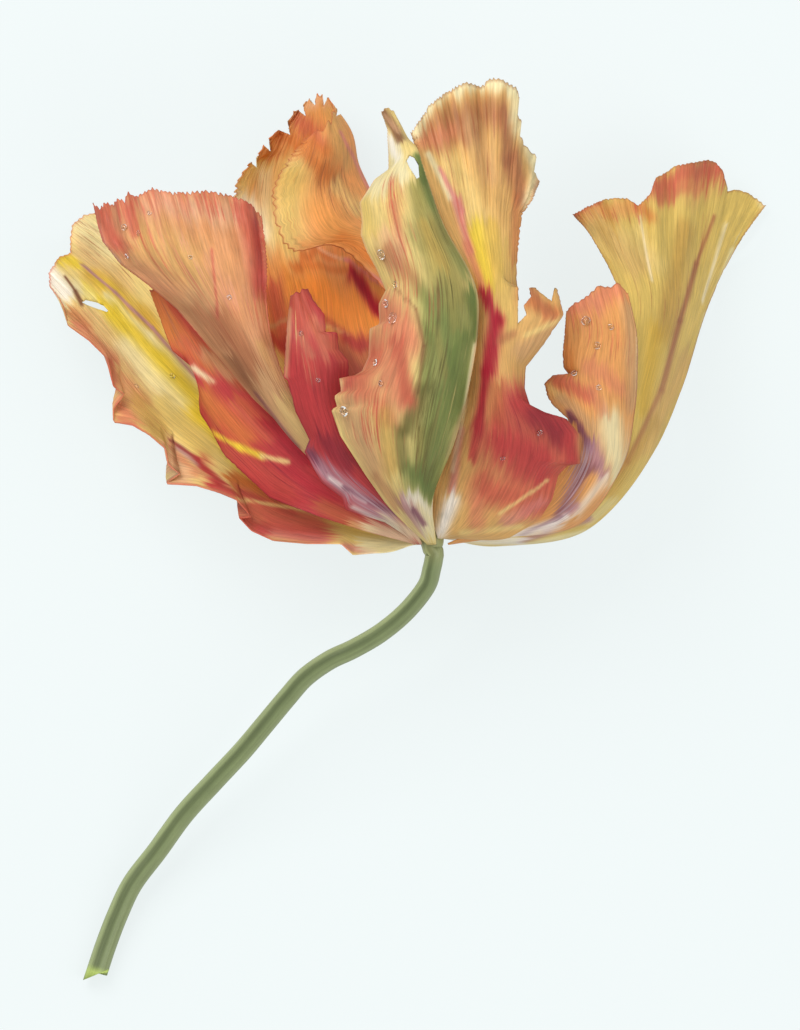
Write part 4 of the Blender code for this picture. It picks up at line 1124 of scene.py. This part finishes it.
def add_colours(mesh, name, colours):
    """A colour for each vertex."""
    layer = mesh.color_attributes.new(name=name, type="FLOAT_COLOR", domain="POINT")
    layer.data.foreach_set("color", colours.astype(np.float32).ravel())


def empty_material(name):
    """A material with no node in it, and its tree."""
    material = bpy.data.materials.new(name)
    material.use_nodes = True
    material.node_tree.nodes.clear()
    return material, material.node_tree


def add_node(tree, kind, settings=None, inputs=None):
    """A shader node with its settings. Its inputs are set, or linked to a socket or to a node's first
    output."""
    node = tree.nodes.new(kind)
    for key, value in (settings or {}).items():
        setattr(node, key, value)
    for key, value in (inputs or {}).items():
        if isinstance(value, bpy.types.Node):
            value = value.outputs[0]
        if isinstance(value, bpy.types.NodeSocket):
            tree.links.new(value, node.inputs[key])
        else:
            node.inputs[key].default_value = value
    return node


def grain(tree, pattern, place=0.0):
    """Noise drawn out along the piece, its grains as wide and long in mm as the pattern says. The piece's
    place and the pattern's move it through the noise."""
    width, length, detail, roughness, own = pattern
    places = add_node(tree, "ShaderNodeUVMap", {"uv_map": "grain_mm"})
    scaled = add_node(tree, "ShaderNodeVectorMath", {"operation": "MULTIPLY"},
                      {0: places, 1: (1 / width, 1 / length, 1.0)})
    moved = add_node(tree, "ShaderNodeVectorMath", {"operation": "ADD"},
                     {0: scaled, 1: tuple(part * (place + own) for part in GRAIN_WAY)})
    return add_node(tree, "ShaderNodeTexNoise", {"noise_dimensions": "3D"},
                    {"Vector": moved, "Scale": 1.0, "Detail": detail, "Roughness": roughness,
                     "Distortion": GRAIN_TWIST})


def toned(tree, colour, patterns):
    """A colour made lighter and darker by grains, each with its range of tones."""
    low, high = NOISE_MIDDLE
    for noise, (dark, light) in patterns:
        tone = add_node(tree, "ShaderNodeMapRange", {"clamp": True},
                        {"Value": noise, "From Min": low, "From Max": high, "To Min": dark,
                         "To Max": light})
        colour = add_node(tree, "ShaderNodeVectorMath", {"operation": "SCALE"},
                          {0: colour, "Scale": tone})
    return colour


def petal_tissue(name, place):
    """Living petal: thin wet-looking tissue with fine ribs that catch the light in lines, pigment laid in
    streaks along the ribs, and light from behind that glows through it."""
    material, tree = empty_material(name)
    ground = add_node(tree, "ShaderNodeAttribute", {"attribute_name": "ground"})
    streak = add_node(tree, "ShaderNodeAttribute", {"attribute_name": "streak"})
    streaks, veins, clouds = (grain(tree, pattern, place) for pattern in (STREAKS, VEINS, CLOUDS))
    level = add_node(tree, "ShaderNodeMath", {"operation": "MULTIPLY_ADD"},
                     {0: streak.outputs["Alpha"], 1: -STREAK_FALL, 2: STREAK_LEVEL})
    excess = add_node(tree, "ShaderNodeMath", {"operation": "SUBTRACT"}, {0: streaks, 1: level})
    cover = add_node(tree, "ShaderNodeMapRange", {"clamp": True},
                     {"Value": excess, "From Min": 0.0, "From Max": 1 / STREAK_GAIN, "To Min": 0.0,
                      "To Max": STREAK_COVER})
    faint, full = STREAK_DENSITIES
    presence = add_node(tree, "ShaderNodeMapRange", {"clamp": True},
                        {"Value": streak.outputs["Alpha"], "From Min": faint, "From Max": full})
    mask = add_node(tree, "ShaderNodeMath", {"operation": "MULTIPLY"}, {0: cover, 1: presence})
    colour = add_node(tree, "ShaderNodeMix", {"data_type": "RGBA"},
                      {0: mask, 6: ground, 7: streak}).outputs[2]
    colour = toned(tree, colour, ((veins, VEIN_TONES), (clouds, CLOUD_TONES)))
    height = add_node(tree, "ShaderNodeMath", {"operation": "MULTIPLY_ADD"},
                      {0: streaks, 1: STREAK_HEIGHT, 2: veins})
    strength, depth = PETAL_RIBS
    ribs = add_node(tree, "ShaderNodeBump", {}, {"Strength": strength, "Distance": depth,
                                                 "Height": height})
    front = add_node(tree, "ShaderNodeBsdfPrincipled", {},
                     {"Base Color": colour, "Roughness": PETAL_ROUGHNESS, "IOR": PETAL_IOR,
                      "Specular IOR Level": PETAL_SPECULAR, "Normal": ribs})
    behind = add_node(tree, "ShaderNodeBsdfTranslucent", {}, {"Color": colour, "Normal": ribs})
    both = add_node(tree, "ShaderNodeMixShader", {}, {0: PETAL_GLOW, 1: front, 2: behind})
    add_node(tree, "ShaderNodeOutputMaterial", {}, {"Surface": both})
    return material


def stem_skin():
    """Tulip stem: smooth waxy skin with a grey bloom over green, faint ribs along it, and a fresh pale
    cut at its end."""
    material, tree = empty_material("waxy_green_stem")
    ground = add_node(tree, "ShaderNodeAttribute", {"attribute_name": "ground"})
    ribs, specks = grain(tree, STEM_RIBS), grain(tree, STEM_SPECKS)
    colour = toned(tree, ground, ((ribs, RIB_TONES), (specks, SPECK_TONES)))
    strength, depth = STEM_BUMP
    bump = add_node(tree, "ShaderNodeBump", {}, {"Strength": strength, "Distance": depth, "Height": ribs})
    skin = add_node(tree, "ShaderNodeBsdfPrincipled", {},
                    {"Base Color": colour, "Roughness": STEM_ROUGHNESS, "IOR": STEM_IOR,
                     "Specular IOR Level": STEM_SPECULAR, "Normal": bump})
    add_node(tree, "ShaderNodeOutputMaterial", {}, {"Surface": skin})
    return material


def plain_material(name, settings):
    """A material of one finish all over: what the settings make of the plain surface."""
    material, tree = empty_material(name)
    surface = add_node(tree, "ShaderNodeBsdfPrincipled", {}, settings)
    add_node(tree, "ShaderNodeOutputMaterial", {}, {"Surface": surface})
    return material


def make_petal(name, number):
    """One petal or lobe: its fine blade, painted by its washes and streaks."""
    _, slot_name, cells = PETALS[name]
    across, along = cells
    random = np.random.default_rng(FIRST_SEED + number)
    surface = fine_surface(name, random)
    cuts = CUTS.get(name, ())
    kept = kept_cells(surface, cuts)
    surface = drawn_to_cuts(surface, kept, cuts)
    points, faces, places, used = blade_mesh(surface, kept)
    piece = new_piece(name + "_bloom", points, faces, petal_tissue(name + "_tissue", NOISE_STEP * number))
    width, length = run_length(surface[along * 2 // 3]), run_length(surface[:, across // 2])
    add_map(piece.data, places * (width, length))
    edge = edge_nearness(surface.shape[:2], width, length, PAINT[name]["margin"][1])
    sheet = on_sheet(surface)
    loose = feathered(sheet, random)
    ground, streak = painted(sheet.reshape(-1, 2), loose.reshape(-1, 2), PAINT[name], edge.ravel())
    add_colours(piece.data, "ground", np.tile(ground, (2, 1))[used])
    add_colours(piece.data, "streak", np.tile(streak, (2, 1))[used])
    stand_in(piece, name)
    return surface


def ring_faces(rings, sides):
    """Triangles of a skin of rings, closed by a fan round a pole at each end. The two poles' points come
    after the rings' points."""
    index = np.arange(rings * sides).reshape(rings, sides)
    follow = np.roll(index, -1, axis=1)
    a, b, c, d = index[:-1].ravel(), follow[:-1].ravel(), follow[1:].ravel(), index[1:].ravel()
    first, last = rings * sides, rings * sides + 1
    return np.concatenate([np.stack([a, b, c], 1), np.stack([a, c, d], 1),
                           np.stack([np.full(sides, first), follow[0], index[0]], 1),
                           np.stack([np.full(sides, last), index[-1], follow[-1]], 1)])


def tube_mesh(line, radii, sides, slant=0.0, lobes=0, lobe_depth=0.0):
    """Vertices and triangles of a closed tube: rings of the given radii at right angles to a line, each
    swelled by a cosine for its lobes, and the last one slanted."""
    way = unit(np.gradient(line, axis=0))
    side = unit(np.cross(way, (0.0, 0.0, 1.0)))
    rise = np.cross(side, way)
    turn = np.arange(sides) * 2 * math.pi / sides
    swell = 1 + lobe_depth * np.cos(lobes * turn)
    around = side[:, None] * np.cos(turn)[None, :, None] + rise[:, None] * np.sin(turn)[None, :, None]
    rings = line[:, None] + around * (radii[:, None] * swell)[..., None]
    rings[-1] += way[-1] * (slant * radii[-1] * np.cos(turn))[:, None]
    points = np.concatenate([rings.reshape(-1, 3), line[:1], rings[-1].mean(0)[None]])
    return points, ring_faces(len(line), sides)


def make_stem():
    """The stem and the receptacle, in one fine tube, with a dark band along its top, flanks painted
    lighter as lit and its right side painted in shade.
    """
    head = smooth_curve([(AXIS_ACROSS, down, AXIS_HEIGHT) for down, _ in RECEPTACLE], HEAD_RINGS)
    head_radii = smooth_curve([(radius, 0.0) for _, radius in RECEPTACLE], HEAD_RINGS)[:, 0] * MM
    body_radii = np.linspace(STEM_RADIUS_TOP, STEM_RADIUS_LOW, STEM_RINGS + 1)
    line = placed(np.concatenate([head, smooth_curve(STEM_LINE, STEM_RINGS)]))
    points, faces = tube_mesh(line, np.concatenate([head_radii, body_radii]), STEM_SIDES, slant=CUT_SLANT)
    piece = new_piece("stem_green", points, faces, stem_skin())
    steps = np.linalg.norm(np.diff(line, axis=0), axis=1) / MM
    run = np.repeat(np.concatenate([[0], np.cumsum(steps)]), STEM_SIDES)
    turn = np.tile(np.arange(STEM_SIDES) / STEM_SIDES, len(line))
    around = np.abs(turn - 0.5) * 2 * math.pi * STEM_RADIUS_LOW / MM
    add_map(piece.data, np.concatenate([np.stack([around, run], 1), [[0, 0], [0, run[-1]]]]))
    left, top = np.cos(2 * math.pi * turn), np.sin(2 * math.pi * turn)
    weights = {
        # Painted shade on the right side, painted light on both flanks.
        "right_side": ease(-left * SHADE_SPREAD),
        "left_lit_flank": ease(left * FLANK_SPREAD - FLANK_START),
        "right_lit_flank": ease(-left * FLANK_SPREAD - FLANK_START),
        "band": ease(BAND_END - np.abs(left - BAND_PLACE) / BAND_WIDTH) * ease(BAND_RISE * top),
        "neck": ease(1 - run / NECK_LENGTH),
        "cut": ease((run - run[-1] + CUT_LENGTH) / CUT_LENGTH),
    }
    colours = np.tile(linear(STEM_GREENS["middle"]), (len(points), 1))
    for place, green, strength in STEM_WASHES:
        amount = (weights[place] * strength)[:, None]
        colours[:-2] += (np.array(linear(STEM_GREENS[green])) - colours[:-2]) * amount
    colours[-1] = linear(STEM_GREENS["cut"])
    add_colours(piece.data, "ground", colours)
    stand_in(piece, "stem")


def make_pistil():
    """The pistil: a green ovary with three swells, round the axis, under a stigma of three lobes."""
    downs = [down for down, _ in PISTIL_PROFILE] + list(STIGMA_LEVEL)
    radii = [radius for _, radius in PISTIL_PROFILE] + [STIGMA_REACH, STIGMA_TOP]
    line = placed(smooth_curve([(AXIS_ACROSS, down, AXIS_HEIGHT) for down in downs], PISTIL_RINGS))
    fine_radii = smooth_curve([(radius, 0.0) for radius in radii], PISTIL_RINGS)[:, 0] * MM
    lobes, depth = PISTIL_LOBES
    points, faces = tube_mesh(line, fine_radii, PISTIL_SIDES, lobes=lobes, lobe_depth=depth)
    # Pistil tissue: moist and pale green, which looks softly glossy.
    tissue = plain_material("pistil_tissue", {"Base Color": linear(PISTIL_GREEN),
                                              "Roughness": PISTIL_ROUGHNESS})
    stand_in(new_piece("pistil_green", points, faces, tissue), "pistil")


def make_stamens():
    """Six stamens round the pistil, each a slim filament that swells, as the root of a sine, into a long
    anther."""
    # Anther: covered in dry pollen, which looks dark and quite dull.
    dust = plain_material("anther_dust", {"Base Color": linear(ANTHER_BROWN),
                                          "Roughness": ANTHER_ROUGHNESS})
    for number in range(STAMEN_COUNT):
        degrees = 360 / STAMEN_COUNT * (number + 0.5)
        knots = [ring_point(radius, degrees, down)
                 for radius, down in (STAMEN_FOOT, STAMEN_MIDDLE, STAMEN_HEAD)]
        knots.append(ring_point(STAMEN_HEAD[0] + STAMEN_LEAN, degrees, STAMEN_HEAD[1] - ANTHER_LENGTH))
        spans = len(knots) - 1
        place = np.linspace(0, spans, STAMEN_RINGS + 1)
        swell = np.sin(np.clip(place - spans + 1, 0, 1) * math.pi) ** 0.5
        radii = (FILAMENT_RADIUS + (ANTHER_RADIUS - FILAMENT_RADIUS) * swell) * MM
        points, faces = tube_mesh(placed(smooth_curve(knots, STAMEN_RINGS)), radii, STAMEN_SIDES)
        node = "stamen_" + str(number + 1)
        stand_in(new_piece(node + "_fine", points, faces, dust), node)


def drop_points(surface, across, along, radius):
    """A drop's points: circles about the blade's normal, as wide as the sine of their level and as high as
    its cosine, flattened, and then its top and its bottom."""
    rows, columns = surface.shape[:2]
    row, column = int(along * (rows - 1)), int(across * (columns - 1))
    normal = blade_normals(surface)[row, column]
    normal = normal if normal[2] > 0 else -normal
    side = unit(np.cross(normal, (0.0, 1.0, 0.0)))
    size = DROP_GROWTH * radius * MM
    centre = surface[row, column] + normal * (BLADE / 2 + DROP_RISE * size)
    turn = (np.arange(DROP_SIDES) * 2 * math.pi / DROP_SIDES)[:, None]
    around = (side * np.cos(turn) + np.cross(normal, side) * np.sin(turn)) * size
    level = np.linspace(0, math.pi, DROP_LEVELS + 1)[1:-1, None, None]
    height = normal * DROP_FLATNESS * size
    rings = centre + around * np.sin(level) + height * np.cos(level)
    return np.concatenate([rings.reshape(-1, 3), [centre + height, centre - height]])


def make_dew(surfaces):
    """The drops, one mesh of flattened balls that sit on the petals' upper faces."""
    drops = [drop_points(surfaces[name], *place) for name, *place in DEW]
    one = ring_faces(DROP_LEVELS - 1, DROP_SIDES)
    faces = np.concatenate([one + number * len(drops[0]) for number in range(len(drops))])
    # Dew: clear water, which shows as a bright edge and a small dark line inside it.
    water = plain_material("dew_water", {"Base Color": (1, 1, 1, 1), "Roughness": WATER_ROUGHNESS,
                                         "IOR": WATER_IOR, "Transmission Weight": 1.0})
    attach(new_piece("dew_drops", np.concatenate(drops), faces, water), "root")


def make_table():
    """A pale table lit from below, so that no shadow darkens it, as on a light box."""
    pale = linear(TABLE_COLOUR)
    # Light box: a dull white sheet of plastic that glows evenly, which looks almost shadowless.
    sheet = plain_material("pale_table", {
        "Base Color": tuple(TABLE_SHARE * c for c in pale[:3]) + (1.0,), "Roughness": TABLE_ROUGHNESS,
        "Specular IOR Level": 0.0, "Emission Color": pale, "Emission Strength": TABLE_GLOW})
    corners = [(x * TABLE_HALF, y * TABLE_HALF, TABLE_LEVEL)
               for x, y in ((-1, -1), (1, -1), (1, 1), (-1, 1))]
    mesh = bpy.data.meshes.new("light_table")
    mesh.from_pydata(corners, [], [(0, 1, 2, 3)])
    mesh.materials.append(sheet)
    table = bpy.data.objects.new("light_table", mesh)
    bpy.context.scene.collection.objects.link(table)


def add_light(name, place, size, power):
    """A soft square light that looks at the bloom."""
    light = bpy.data.lights.new(name, "AREA")
    light.size = size
    light.energy = power
    lamp = bpy.data.objects.new(name, light)
    bpy.context.scene.collection.objects.link(lamp)
    lamp.location = place
    way = np.array(LIGHT_AIM) - np.array(place)
    lamp.rotation_euler = (math.acos(-unit(way)[2]), 0.0, math.atan2(-way[0], way[1]))


def light_scene():
    """Soft studio light from above left, a weaker fill from the right, and pale air all round."""
    add_light("key_light", *KEY_LIGHT)
    add_light("fill_light", *FILL_LIGHT)
    world = bpy.data.worlds.new("pale_air")
    bpy.context.scene.world = world
    world.use_nodes = True
    air = world.node_tree.nodes["Background"]
    air.inputs["Color"].default_value = linear(AIR_COLOUR)
    air.inputs["Strength"].default_value = AIR_STRENGTH


def make_camera():
    """The camera, straight above, far off with a long lens, so that the sheet fills its picture."""
    camera = bpy.data.cameras.new("camera")
    camera.sensor_fit = "VERTICAL"
    camera.sensor_height = SENSOR_HEIGHT
    camera.lens = SENSOR_HEIGHT * CAMERA_DISTANCE / (PICTURE_HEIGHT * UNIT)
    camera.clip_end = CAMERA_REACH
    eye = bpy.data.objects.new("camera", camera)
    bpy.context.scene.collection.objects.link(eye)
    eye.location = placed(PICTURE_MIDDLE + (0.0,)) + (0.0, 0.0, CAMERA_DISTANCE + SHARP_HEIGHT)
    bpy.context.scene.camera = eye


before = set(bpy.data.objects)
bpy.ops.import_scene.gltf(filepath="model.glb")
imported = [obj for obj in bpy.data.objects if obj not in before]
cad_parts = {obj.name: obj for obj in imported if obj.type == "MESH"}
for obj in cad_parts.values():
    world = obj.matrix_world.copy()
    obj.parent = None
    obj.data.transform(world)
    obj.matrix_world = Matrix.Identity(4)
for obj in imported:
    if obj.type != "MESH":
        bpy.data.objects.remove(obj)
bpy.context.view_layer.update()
petal_surfaces = {name: make_petal(name, number) for number, name in enumerate(PETALS)}
make_stem()
make_pistil()
make_stamens()
make_dew(petal_surfaces)
make_table()
light_scene()
make_camera()
bpy.context.scene.view_settings.view_transform = "Standard"
